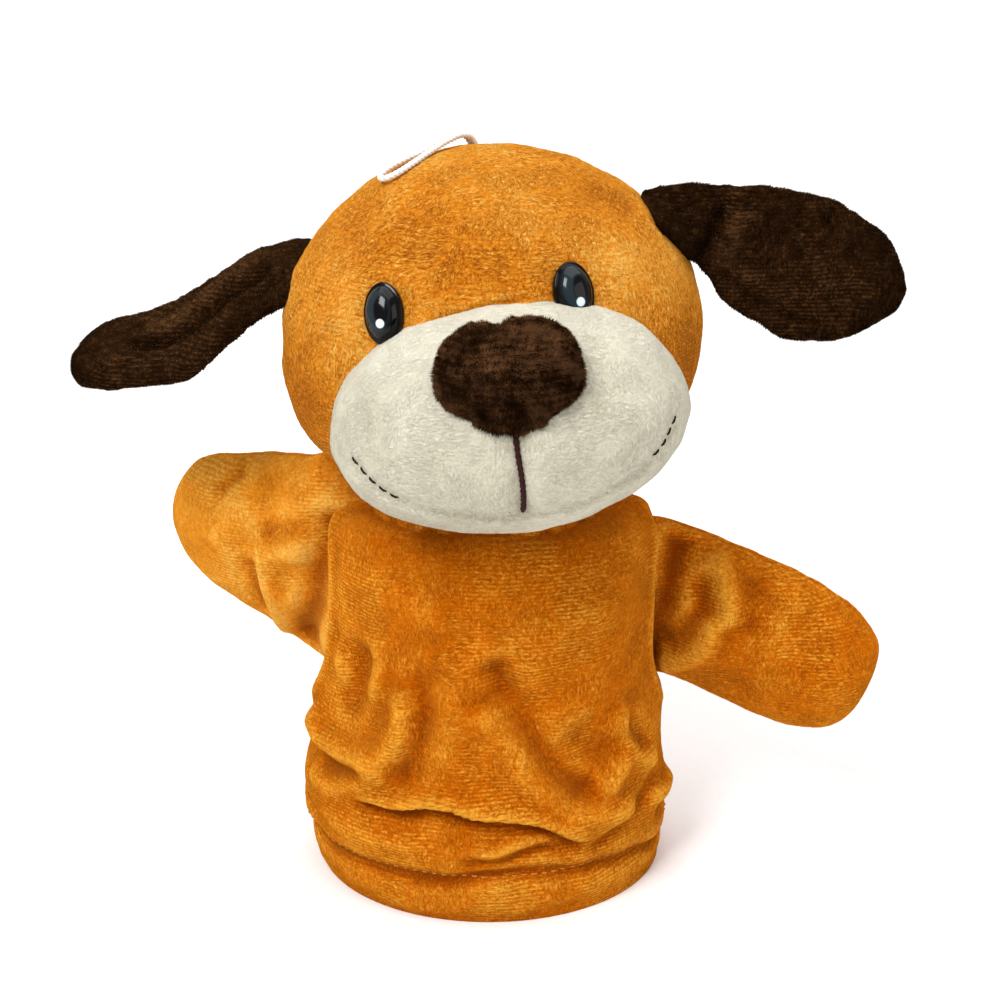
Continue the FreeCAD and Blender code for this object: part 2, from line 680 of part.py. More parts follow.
for thing in doc.Objects:
    if {"Invalid", "Error"} & set(thing.State):
        raise RuntimeError(f"{thing.Name} failed: {thing.State}")
for label, thing in nodes.items():
    if thing.Shape.isNull() or not thing.Shape.isValid() or len(thing.Shape.Solids) != 1:
        raise RuntimeError(f"{label} isn't one valid solid")

os.makedirs("parts", exist_ok=True)
for label, thing in nodes.items():
    thing.Shape.exportStep(f"parts/{label}.step")
    bounds = thing.Shape.BoundBox
    print(f"{label}: {len(thing.Shape.Solids)} solid, {thing.Shape.Volume:.0f} mm3, "
          f"{bounds.XMin:.0f}..{bounds.XMax:.0f}, {bounds.YMin:.0f}..{bounds.YMax:.0f}, "
          f"{bounds.ZMin:.0f}..{bounds.ZMax:.0f}")
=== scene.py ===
"""The looks of a plush dog glove puppet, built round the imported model.

Lengths are written in millimetres and turned into metres when a mesh is made. The puppet stands on
its hem at Z = 0, faces -Y, and has its left hand on +X.
"""

import itertools
import math

import bpy
import numpy as np
from mathutils import Matrix, Vector


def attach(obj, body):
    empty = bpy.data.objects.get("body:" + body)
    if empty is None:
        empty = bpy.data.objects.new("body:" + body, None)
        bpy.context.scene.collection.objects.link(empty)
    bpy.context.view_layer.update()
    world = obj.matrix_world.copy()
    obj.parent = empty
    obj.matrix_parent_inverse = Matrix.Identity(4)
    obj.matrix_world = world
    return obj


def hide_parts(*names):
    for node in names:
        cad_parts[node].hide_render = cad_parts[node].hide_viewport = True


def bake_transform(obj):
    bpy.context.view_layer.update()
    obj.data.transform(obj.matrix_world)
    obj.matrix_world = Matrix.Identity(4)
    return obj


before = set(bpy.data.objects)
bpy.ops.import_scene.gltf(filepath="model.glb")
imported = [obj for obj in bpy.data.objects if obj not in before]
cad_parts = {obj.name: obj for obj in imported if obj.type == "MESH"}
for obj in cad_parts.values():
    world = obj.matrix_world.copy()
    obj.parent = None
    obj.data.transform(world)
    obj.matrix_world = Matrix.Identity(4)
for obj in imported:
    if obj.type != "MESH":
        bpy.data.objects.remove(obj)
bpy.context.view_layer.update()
MM = 0.001


# ---- sums on points ----


def unit(vectors):
    """Each vector made one long."""
    vectors = np.asarray(vectors, float)
    lengths = np.linalg.norm(vectors, axis=-1, keepdims=True)
    return vectors / np.maximum(lengths, 1e-12)


def ease(values, low, high):
    """A smooth step from 0 at low to 1 at high."""
    share = np.clip((np.asarray(values, float) - low) / (high - low), 0.0, 1.0)
    return share * share * (3 - 2 * share)


def bell(values, width):
    """A bump that is 1 where the values are 0 and falls away over a width on both sides."""
    return np.exp(-(values / width) ** 2)


def circle(count):
    """Angles evenly round a circle, in radians."""
    return np.linspace(0, 2 * math.pi, count, endpoint=False)


def run_along(line):
    """How far along a line of points each of them is."""
    return np.concatenate([[0.0], np.cumsum(np.linalg.norm(np.diff(line, axis=0), axis=1))])


# large odd numbers that scatter the corners of the noise's cells
SCATTER = (73856093, 19349663, 83492791)
STIR = 1274126177


def noise(points, scale, seed):
    """Smooth noise from -1 to 1, with features about as large as scale."""
    spots = np.asarray(points, float) / scale + 31.7 * seed
    cell = np.floor(spots).astype(np.int64)
    inside = spots - cell
    inside = inside * inside * (3 - 2 * inside)
    total = np.zeros(spots.shape[:-1])
    for corner in itertools.product((0, 1), repeat=3):
        mixed = np.bitwise_xor.reduce((cell + corner) * SCATTER, axis=-1)
        mixed = (mixed ^ (mixed >> 13)) * STIR
        value = ((mixed ^ (mixed >> 16)) & 0xFFFF) / 32767.5 - 1
        weight = np.prod(np.where(np.array(corner) == 1, inside, 1 - inside), axis=-1)
        total += weight * value
    return total


def bumps(points, *waves):
    """Noise of several kinds together, each with its height, size and seed."""
    return sum(height * noise(points, size, seed) for height, size, seed in waves)


def fold_field(spots, line, width, high, low=None, *, fade):
    """The height of a fold along a line of points in the plane of spots.

    A ridge or a valley has the same height on both sides. Where low is given, the cloth laps over:
    it stands high on the line's left and falls to low on its right. The fold fades at its ends."""
    line = np.asarray(line, float)
    steps = np.diff(line, axis=0)
    run = run_along(line)
    nearest = np.full(spots.shape[:-1], 1e9)
    signed = np.zeros(spots.shape[:-1])
    place = np.zeros(spots.shape[:-1])
    for start, step, length, before in zip(line, steps, np.diff(run), run):
        way = spots - start
        share = np.clip((way @ step) / length ** 2, 0.0, 1.0)
        off = way - share[..., None] * step
        away = np.linalg.norm(off, axis=-1)
        side = np.sign(step[0] * off[..., 1] - step[1] * off[..., 0])
        closer = away < nearest
        nearest = np.where(closer, away, nearest)
        signed = np.where(closer, away * np.where(side == 0, 1, side), signed)
        place = np.where(closer, before + share * length, place)
    ends = ease(place, 0, fade) * ease(run[-1] - place, 0, fade)
    if low is None:
        return high * bell(nearest, width) * ends
    above = high * np.exp(-np.maximum(signed, 0) / width)
    below = low * np.exp(-np.maximum(-signed, 0) / width)
    lap = ease(signed, -0.7, 0.7)
    return (above * lap + below * (1 - lap)) * ends


def folded(spots, folds, count, fade=6.0, scale=1.0):
    """The relief of several folds together. Count is how many points each smooth line gets."""
    relief = 0.0
    for line, width, *heights in folds:
        path = smooth_line(np.array(line) * scale, count)
        relief = relief + fold_field(spots, path, width, *heights, fade=fade)
    return relief


def turned(axis, degrees):
    """A rotation as a 3 by 3 array."""
    return np.array(Matrix.Rotation(math.radians(degrees), 3, axis))


# ---- meshes ----


def make_mesh(name, points, faces, fold=None):
    """A mesh object from points in millimetres. Fold tells the material how much each point
    stands out of the cloth round it, or how deep it lies. The material turns that into painted
    highlight on ridges and painted shade in creases."""
    mesh = bpy.data.meshes.new(name)
    mesh.from_pydata((np.asarray(points, float) * MM).tolist(), [], faces)
    if fold is not None:
        values = mesh.attributes.new("fold", "FLOAT", "POINT").data
        values.foreach_set("value", np.asarray(fold, np.float32).ravel())
    mesh.validate()
    mesh.shade_smooth()
    thing = bpy.data.objects.new(name, mesh)
    bpy.context.scene.collection.objects.link(thing)
    return thing


def grid_numbers(rows, columns, around=True, first=0):
    """The number of each point of a grid. One that is closed around has its first column twice."""
    numbers = first + np.arange(rows * columns).reshape(rows, columns)
    return np.concatenate([numbers, numbers[:, :1]], 1) if around else numbers


def strip(low, high, flip=False):
    """The quads between two lines of point numbers."""
    quads = np.stack([low[:-1], low[1:], high[1:], high[:-1]], -1).tolist()
    return [tuple(quad[::-1] if flip else quad) for quad in quads]


def fan(ring, middle, flip=False):
    """The triangles between a ring of point numbers and a point in its middle."""
    pairs = zip(ring[:-1].tolist(), ring[1:].tolist())
    return [(two, one, middle) if flip else (one, two, middle) for one, two in pairs]


def grid_faces(numbers, flip=False):
    """The quads of a grid of point numbers."""
    return [quad for low, high in zip(numbers, numbers[1:]) for quad in strip(low, high, flip)]


def closed_faces(numbers, quads=None):
    """The faces of rings that are closed at both ends by a fan, round the last two points."""
    count = int(numbers.max()) + 1
    sides = grid_faces(numbers) if quads is None else quads
    return sides + fan(numbers[0], count, flip=True) + fan(numbers[-1], count + 1)


def with_ends(grid):
    """A grid's points in one list, and then the middles of its first and its last ring."""
    return np.concatenate([grid.reshape(-1, 3), [grid[0].mean(0)], [grid[-1].mean(0)]])


def closed_forms(name, grids):
    """One mesh of closed forms, each given by rings of points."""
    points, faces = [], []
    for grid in grids:
        faces += closed_faces(grid_numbers(*grid.shape[:2], first=len(points)))
        points += with_ends(grid).tolist()
    return make_mesh(name, points, faces)


def grid_normals(grid, around=True):
    """The outward direction at each point of a grid whose columns run anticlockwise from above."""
    after, before = np.roll(grid, -1, axis=1), np.roll(grid, 1, axis=1)
    across = after - before if around else np.gradient(grid, axis=1)
    return unit(np.cross(across, np.gradient(grid, axis=0)))


def soften(values, reach, around):
    """The values of a grid, averaged over a reach of cells on each side."""
    weights = np.exp(-0.5 * np.linspace(-2.2, 2.2, 2 * reach + 1) ** 2)
    weights /= weights.sum()
    for axis in (0, 1):
        pad = [(0, 0), (0, 0)]
        pad[axis] = (reach, reach)
        padded = np.pad(values, pad, mode="wrap" if axis and around else "edge")
        size = values.shape[axis]
        values = sum(np.take(padded, range(k, k + size), axis) * w for k, w in enumerate(weights))
    return values


# the most painted highlight on a ridge, and the most painted shade in a crease
RIDGE_HIGHLIGHT = 0.72   # the most that the material makes of a ridge
CREASE_SHADE = -1.5


def standing(relief, step, around):
    """How much each point of a grid stands out of the 7 mm of cloth round it, for painted highlight
    on ridges and painted shade in creases.
    """
    proud = (relief - soften(relief, round(7.0 / step), around)) / 1.6
    return np.where(proud > 0, RIDGE_HIGHLIGHT * np.tanh(proud / RIDGE_HIGHLIGHT), np.maximum(proud, CREASE_SHADE))


def cloth_shell(name, outer, inner=None, around=False, tip=False, fold=None):
    """A sheet of cloth with a real thickness, closed along its edges or at a tip."""
    if inner is None:
        inner = outer - grid_normals(outer, around) * FABRIC
    numbers = grid_numbers(*outer.shape[:2], around)
    back = outer.shape[0] * outer.shape[1]
    points = np.concatenate([outer.reshape(-1, 3), inner.reshape(-1, 3)])
    fold = np.concatenate([fold.ravel(), fold.ravel()])
    faces = grid_faces(numbers) + grid_faces(numbers + back, flip=True)
    edges = [(numbers[0], True)]
    if tip:
        points = np.concatenate([points, [outer[-1].mean(0), inner[-1].mean(0)]])
        fold = np.concatenate([fold, [0, 0]])
        faces += fan(numbers[-1], 2 * back) + fan(numbers[-1] + back, 2 * back + 1, flip=True)
    else:
        edges.append((numbers[-1], False))
    if not around:
        edges += [(numbers[:, 0], False), (numbers[:, -1], True)]
    for edge, flip in edges:
        faces += strip(edge, edge + back, flip)
    return make_mesh(name, points, faces, fold=fold)


def round_cube(count):
    """Directions and quads of a ball made of six square grids of count by count quads."""
    steps = np.tan(np.linspace(-math.pi / 4, math.pi / 4, count + 1))
    index, directions, faces = {}, [], []

    def corner(key):
        if key not in index:
            index[key] = len(directions)
            directions.append([steps[i] if 0 <= i <= count else 0 for i in key])
        return index[key]

    for axis, end in itertools.product(range(3), (0, count)):
        step = 1 if (end == count) == (axis != 1) else -1
        for i, j in itertools.product(range(count), repeat=2):
            around = ((i, j), (i + 1, j), (i + 1, j + 1), (i, j + 1))
            quad = [corner((*key[:axis], end, *key[axis:])) for key in around]
            faces.append(tuple(quad[::step]))
    return unit(directions), faces


def tufted(points, faces, lengths, lean, rng, spread):
    """Raises a tuft from the middle of each face: its tip goes out by a length and leans over."""
    quads = np.array(faces)
    corners = points[quads]
    middle = corners.mean(1)
    out = unit(np.cross(corners[:, 2] - corners[:, 0], corners[:, 3] - corners[:, 1]))
    long = lengths(middle) * rng.uniform(0.55, 1.3, len(quads))
    stray = rng.normal(0, spread, (len(quads), 3))
    tips = middle + unit(out + lean(middle) + stray) * long[:, None]
    fans = [(one, two, tip) for tip, quad in enumerate(faces, len(points))
            for one, two in zip(quad, quad[1:] + quad[:1])]
    return np.concatenate([points, tips]), fans


def thread_rings(path, radius, pitch, sides, strands):
    """The rings of points round a thread of twisted strands."""
    ways = unit(np.gradient(path, axis=0))
    run = run_along(path)
    side = unit(np.cross(ways, (0.13, 0.41, 0.9)))
    up = np.cross(ways, side)
    angles = circle(sides)
    turn = 2 * math.pi * run / (pitch * strands)
    lobes = np.abs(np.cos((angles - turn[:, None]) * strands / 2))
    ends = np.sqrt(np.clip(np.minimum(run, run[-1] - run) / radius, 0.02, 1.0))
    reach = radius * (0.68 + 0.32 * lobes) * ends[:, None]
    cos, sin = np.cos(angles)[:, None], np.sin(angles)[:, None]
    return path[:, None] + reach[..., None] * (cos * side[:, None] + sin * up[:, None])


def threads(name, paths, radius, pitch, sides=10, strands=2):
    """One mesh of twisted threads, one along each path of points."""
    return closed_forms(name, [thread_rings(path, radius, pitch, sides, strands) for path in paths])


def smooth_line(points, count, between=16):
    """Count points evenly along a smooth curve through a few points."""
    points = np.asarray(points, float)
    padded = np.concatenate([[2 * points[0] - points[1]], points, [2 * points[-1] - points[-2]]])
    curve = []
    for number in range(len(points) - 1):
        a, b, c, d = padded[number:number + 4]
        for share in np.linspace(0, 1, between, endpoint=False):
            curve.append(0.5 * (2 * b + (c - a) * share + (2 * a - 5 * b + 4 * c - d) * share ** 2
                                + (3 * b - a - 3 * c + d) * share ** 3))
    curve = np.array(curve + [points[-1]])
    run = run_along(curve)
    wanted = np.linspace(0, run[-1], count)
    return np.stack([np.interp(wanted, run, curve[:, axis]) for axis in range(curve.shape[1])], 1)


# ---- materials ----


class Nodes:
    """A short way to write a material's nodes."""

    def __init__(self, name):
        self.material = bpy.data.materials.new(name)
        self.material.use_nodes = True
        self.tree = self.material.node_tree
        self.shader = self.tree.nodes["Principled BSDF"]

    def add(self, kind, inputs, **settings):
        node = self.tree.nodes.new(f"ShaderNode{kind}")
        for key, value in settings.items():
            setattr(node, key, value)
        for key, value in inputs.items():
            self.feed(node.inputs[key], value)
        return node

    def feed(self, socket, value):
        if isinstance(value, bpy.types.NodeSocket):
            self.tree.links.new(value, socket)
        else:
            socket.default_value = value

    def math(self, operation, *values, clamp=False):
        inputs = dict(enumerate(values))
        return self.add("Math", inputs, operation=operation, use_clamp=clamp).outputs[0]

    def total(self, value, *parts):
        """A value, plus how far each part is off its middle times its swing."""
        for part, middle, swing in parts:
            off = self.math("SUBTRACT", part, middle)
            value = self.math("ADD", value, self.math("MULTIPLY", off, swing))
        return value

    def place(self):
        """The point's place in millimetres."""
        spot = self.add("TexCoord", {}).outputs["Object"]
        return self.scaled(spot, (1000, 1000, 1000))

    def scaled(self, vector, scale, turn=(0, 0, 0)):
        return self.add("Mapping", {"Vector": vector, "Scale": scale, "Rotation": turn}).outputs[0]

    def noise(self, vector, scale, detail=2.0, distortion=0.0, rough=0.5):
        return self.add("TexNoise", {"Vector": vector, "Scale": scale, "Detail": detail,
                                     "Distortion": distortion, "Roughness": rough}).outputs["Fac"]

    def vector(self, operation, one, two):
        return self.add("VectorMath", {0: one, 1: two}, operation=operation).outputs

    def ramp(self, value, *stops):
        node = self.add("ValToRGB", {"Fac": value})
        bar = node.color_ramp
        while len(bar.elements) < len(stops):
            bar.elements.new(0.5)
        for element, (position, colour) in zip(bar.elements, stops):
            element.position = position
            element.color = (*colour, 1)
        return node.outputs["Color"]

    def span(self, value, low, high, new_low=0.0, new_high=1.0):
        return self.add("MapRange", {"Value": value, "From Min": low, "From Max": high,
                                     "To Min": new_low, "To Max": new_high}).outputs[0]

    def mix(self, share, one, two):
        """Two colours mixed: the mix node's colour sockets are its numbers 6 and 7, and 2 out."""
        return self.add("Mix", {0: share, 6: one, 7: two}, data_type="RGBA").outputs[2]

    def bump(self, height, distance, strength):
        inputs = {"Height": height, "Distance": distance * MM, "Strength": strength}
        return self.add("Bump", inputs).outputs["Normal"]

    def set(self, **inputs):
        for key, value in inputs.items():
            words = key.replace("_", " ").title().replace("Ior", "IOR")
            self.feed(self.shader.inputs[words], value)
        return self.material


WAVE = 0.1 * math.pi   # the scale of a wave texture whose bands are 1 apart


def plush(name, deep, body, light, sheen, shine=0.5, rows=1.0, streak=1.0, mottle=1.0, pitch=1.3):
    """Short pile plush: fine tufts of lying pile, knit rows that show where it is brushed flat,
    painted highlight on the ridges of folds and painted shade in their creases."""
    n = Nodes(name)
    spot = n.place()
    drift = n.add("TexNoise", {"Vector": spot, "Scale": 0.05, "Detail": 1.0}).outputs["Color"]
    shift = n.vector("SUBTRACT", drift, (0.5, 0.5, 0.5))[0]
    far = n.vector("MULTIPLY", shift, (4.0, 4.0, 4.0))[0]
    bent = n.vector("ADD", spot, far)[0]
    lying = [n.noise(n.scaled(bent, scale, (0.0, turn, 0.0)), 1.35, 4.0, 0.9, 0.75)
             for scale, turn in (((1.0, 1.0, 0.40), 0.35), ((0.40, 1.0, 1.0), 0.55))]
    swirl = n.span(n.noise(spot, 0.07, detail=1.0), 0.42, 0.58)
    streaks = n.span(n.mix(swirl, *lying), 0.36, 0.64)
    tufts = n.span(n.noise(bent, 0.5, rough=0.6), 0.35, 0.65)
    flat = n.scaled(bent, (0.12, 0.12, 1.0))
    knit = n.add("TexWave", {"Vector": flat, "Scale": WAVE / pitch, "Distortion": 0.7,
                             "Detail": 1.0, "Detail Scale": 2.0}, bands_direction="Z")
    shown = n.span(n.noise(spot, 0.035, detail=1.0), 0.42, 0.60, 0.12, 1.0)
    dashes = n.span(n.noise(bent, 0.9, detail=1.0), 0.38, 0.60, 0.15, 1.0)
    line = knit.outputs["Fac"]
    for share in (shown, dashes, rows):
        line = n.math("MULTIPLY", line, share)
    patch = n.span(n.noise(spot, 0.06), 0.35, 0.65)
    # the mesh's fold values: painted highlight where the cloth stands out, painted shade where it
    # lies deep
    fold = n.add("Attribute", {}, attribute_name="fold").outputs["Fac"]
    # how high the pile stands and how light it is, from parts that each swing round their middle;
    # the fold part is painted highlight on ridges and painted shade in creases
    height = n.total(0.0, (streaks, 0.0, 0.62 * streak), (line, 0.0, 0.34), (tufts, 0.0, 0.40))
    tone_and_shade = n.total(0.46, (streaks, 0.5, 0.66 * streak), (line, 0.2 * rows, 0.40),
                   (patch, 0.5, 0.13 * mottle), (tufts, 0.5, 0.14), (fold, 0.0, 0.50))
    colour = n.ramp(tone_and_shade, (0.0, deep), (0.46, body), (0.95, light))
    normal = n.bump(height, 0.9, 0.95)
    return n.set(base_color=colour, roughness=0.95, normal=normal, sheen_weight=shine,
                 sheen_roughness=0.45, sheen_tint=(*sheen, 1), specular_ior_level=0.0)


# the colours of each plush: deepest, for dark pile and painted shade in its creases; its body;
# lightest, for light pile and painted highlight on its ridges; and its sheen
ORANGE = plush("orange_plush", (0.31, 0.042, 0.0003), (0.65, 0.140, 0.0010),
               (1.0, 0.445, 0.042), (1.0, 0.46, 0.04), streak=0.92)
# a lighter copy of the same plush with painted light, for the head
HEAD_PAINTED_LIT = plush("orange_plush_head_painted_lit", (0.34, 0.052, 0.001), (0.84, 0.262, 0.010),
                (1.0, 0.61, 0.14), (1.0, 0.53, 0.09), shine=0.40, rows=0.6, streak=1.2)
# a lighter copy of the same plush with painted light, for the right arm
ARM_LIT = plush("orange_plush_lit", (0.42, 0.085, 0.001), (0.82, 0.260, 0.010),
                (1.0, 0.58, 0.11), (1.0, 0.54, 0.09), shine=0.55, rows=0.9, streak=0.7)
CREAM = plush("cream_plush", (0.46, 0.41, 0.29), (0.685, 0.642, 0.50), (0.84, 0.80, 0.67),
              (1.0, 0.95, 0.82), shine=0.14, rows=0.1, streak=0.75, mottle=0.6)
BROWN = plush("brown_plush", (0.005, 0.0015, 0.0004), (0.036, 0.013, 0.0040),
              (0.155, 0.070, 0.026), (0.50, 0.28, 0.12), shine=0.05, mottle=0.35)
NOSE = plush("nose_plush", (0.005, 0.0015, 0.0005), (0.042, 0.014, 0.0042),
             (0.28, 0.125, 0.052), (0.50, 0.28, 0.12), shine=0.04, mottle=2.6, pitch=1.9)


def thread_material(name, dark, light):
    """Twisted thread: fine slanting strands."""
    n = Nodes(name)
    spot = n.place()
    strands = n.noise(n.scaled(spot, (1.0, 1.0, 0.25), (0.6, 0.4, 0.8)), 3.0, detail=3.0)
    return n.set(base_color=n.ramp(strands, (0.3, dark), (0.75, light)), roughness=0.75,
                 normal=n.bump(strands, 0.12, 0.7), specular_ior_level=0.15)


DARK_THREAD = thread_material("dark_thread", (0.010, 0.002, 0.001), (0.045, 0.010, 0.006))
ORANGE_THREAD = thread_material("orange_thread", (0.42, 0.11, 0.01), (0.80, 0.33, 0.05))
HEM_THREAD = thread_material("hem_thread", (0.22, 0.23, 0.26), (0.55, 0.56, 0.60))
LOOP_CORD = thread_material("loop_cord", (0.66, 0.62, 0.56), (0.93, 0.92, 0.90))


def woven(name, dark, light, pitch):
    """Thin woven cloth: threads over and under."""
    n = Nodes(name)
    wave = {"Vector": n.place(), "Scale": WAVE / pitch, "Distortion": 0.4}
    waves = [n.add("TexWave", wave, bands_direction=way).outputs["Fac"] for way in ("X", "Z")]
    weave = n.math("MULTIPLY", *waves)
    return n.set(base_color=n.ramp(weave, (0.1, dark), (0.8, light)), roughness=0.9,
                 normal=n.bump(weave, 0.15, 0.6), sheen_weight=0.3)


TUBE_CLOTH = woven("tube_cloth", (0.42, 0.15, 0.03), (0.72, 0.34, 0.09), 0.7)


def washer_material():
    n = Nodes("washer_plastic")
    grain = n.noise(n.place(), 0.8, detail=4.0)
    return n.set(base_color=n.ramp(grain, (0.2, (0.72, 0.72, 0.70)), (0.8, (0.84, 0.84, 0.82))),
                 roughness=0.45, normal=n.bump(grain, 0.02, 0.4))


WASHER = washer_material()


def paint(thing, material):
    thing.data.materials.clear()
    thing.data.materials.append(material)


def dress(thing, material, slot, body=None, *replaced):
    """Gives a piece its material and its body, and hides the nodes that it stands for. The slot is
    not used.
    """
    paint(thing, material)
    if body:
        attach(thing, body)
    if replaced:
        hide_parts(*replaced)


# ---- camera, light and floor ----

AIM = Vector((4, 0, 133)) * MM
DISTANCE = 540 * MM
LOOK_DOWN = math.radians(22)
SENSOR, LENS = 36, 58.5
PAPER_HALF = 6000
PAPER_FRONT, PAPER_BACK, PAPER_CURVE, PAPER_TOP = -9000, 900, 500, 2000
# name, place, size and power
LIGHTS = (
    ("key", (-650, -850, 1350), 600, 22.0),
    ("top", (200, 300, 2200), 2400, 38.0),
    ("fill", (1000, -800, 700), 900, 4.0),
)


def aimed(name, data, place):
    """A camera or a light in its place, turned to the aim."""
    thing = bpy.data.objects.new(name, data)
    thing.location = place
    thing.rotation_euler = (AIM - thing.location).to_track_quat("-Z", "Y").to_euler()
    bpy.context.scene.collection.objects.link(thing)
    return thing


def make_stage():
    back = Vector((0, -math.cos(LOOK_DOWN), math.sin(LOOK_DOWN)))
    camera = aimed("camera", bpy.data.cameras.new("camera"), AIM + back * DISTANCE)
    camera.data.sensor_width = SENSOR
    camera.data.lens = LENS
    camera.data.clip_start = 0.01
    bpy.context.scene.camera = camera

    # a sweep of white paper: flat under the puppet, and curved up far behind it
    sweep = [(PAPER_FRONT, 0)]
    for turn in np.radians(range(0, 91, 10)):
        sweep.append((PAPER_BACK + PAPER_CURVE * np.sin(turn), PAPER_CURVE * (1 - np.cos(turn))))
    sweep.append((PAPER_BACK + PAPER_CURVE, PAPER_TOP))
    points = [(x, y, z) for y, z in sweep for x in (-PAPER_HALF, PAPER_HALF)]
    paper = make_mesh("paper_sweep", points, grid_faces(grid_numbers(len(sweep), 2, around=False)))
    n = Nodes("white_paper")
    grain = n.noise(n.place(), 0.3, detail=3.0)
    n.set(base_color=n.ramp(grain, (0.3, (0.90, 0.90, 0.90)), (0.7, (0.92, 0.92, 0.92))),
          roughness=0.9)
    paper.data.materials.append(n.material)

    world = bpy.data.worlds.new("studio")
    world.use_nodes = True
    background = world.node_tree.nodes["Background"]
    background.inputs["Color"].default_value = (1.0, 0.99, 0.98, 1)
    background.inputs["Strength"].default_value = 0.40
    bpy.context.scene.world = world

    for name, place, size, power in LIGHTS:
        light = aimed(name, bpy.data.lights.new(name, "AREA"), Vector(place) * MM)
        light.data.size = size * MM
        light.data.energy = power
    bpy.context.scene.view_settings.view_transform = "Standard"


make_stage()


# ---- hanging loop ----

LOOP_ROUTE = (
    (-3.2, 9.8, 246.4), (-3.8, 9.0, 250.4), (-7.4, 5.0, 252.6), (-12.4, -1.0, 251.2),
    (-17.4, -7.0, 248.9), (-21.4, -11.8, 246.9), (-25.8, -15.4, 244.6), (-30.2, -16.0, 242.6),
    (-32.4, -12.8, 242.4), (-29.8, -8.8, 244.4), (-24.8, -6.9, 246.8), (-19.2, -5.4, 248.9),
    (-14.2, 0.5, 251.2), (-9.1, 6.5, 252.6), (-5.3, 10.6, 250.4), (-4.7, 11.4, 246.4),
)
CORD_ROUND = 1.0


def loop_line():
    """The points of a smooth line through the air, steered by the points of the route."""
    curve = bpy.data.curves.new("loop_line", "CURVE")
    curve.dimensions = "3D"
    curve.resolution_u = 8
    spline = curve.splines.new("NURBS")
    spline.points.add(len(LOOP_ROUTE) - 1)
    for corner, place in zip(spline.points, LOOP_ROUTE):
        corner.co = (*(Vector(place) * MM), 1)
    spline.order_u = 3
    spline.use_endpoint_u = True
    guide = bpy.data.objects.new("loop_line", curve)
    bpy.context.scene.collection.objects.link(guide)
    line = [list(v.co) for v in bpy.data.meshes.new_from_object(guide).vertices]
    bpy.data.objects.remove(guide)
    return np.array(line) / MM


def make_hang_loop():
    """A twisted cord of three strands along the line of the loop."""
    path = smooth_line(loop_line(), 420)
    cord = threads("hang_loop_cord", [path], CORD_ROUND, 1.5, sides=14, strands=3)
    dress(cord, LOOP_CORD, "loop_cord", "head", "hang_loop")


make_hang_loop()


# ---- glove ----

FABRIC = 1.6
# height, half width and half depth of the glove, with its middle's shift to the puppet's left
GLOVE_LEVELS = (
    (0, 60.5, 48.6, 0.4), (9, 62.6, 50.0, -0.2), (18, 64.0, 49.4, -1.2), (30, 64.6, 48.8, -1.5),
    (42, 62.6, 46.8, -1.0), (54, 60.8, 45.6, -0.4), (75, 57.8, 44.0, 0.4), (96, 56.2, 42.6, 1.0),
    (112, 55.4, 41.0, 1.3), (122, 54.4, 39.2, 1.3), (128, 52.6, 37.2, 1.0),
    (131.5, 48.5, 34.6, 0.8), (133.0, 42.0, 31.2, 0.4), (132.6, 37.5, 28.6, 0.2),
)
TURN_UP = 17.0
SEAM_LOW, SEAM_HIGH = 19, 60   # the ends of the side seams, below the arms
ARC = 0.92   # millimetres of cloth round the glove for each degree, near its middle


def glove_surface(angles, rows):
    """Points of the smooth glove, by degrees from the front and by rows up its profile."""
    high, wide, deep, side = smooth_line(GLOVE_LEVELS, rows).T
    turn = np.radians(angles)[None, :]
    x = wide[:, None] * np.sin(turn) + side[:, None]
    y = -deep[:, None] * np.cos(turn)
    z = np.broadcast_to(high[:, None], x.shape)
    return np.stack([x, y, z], -1)


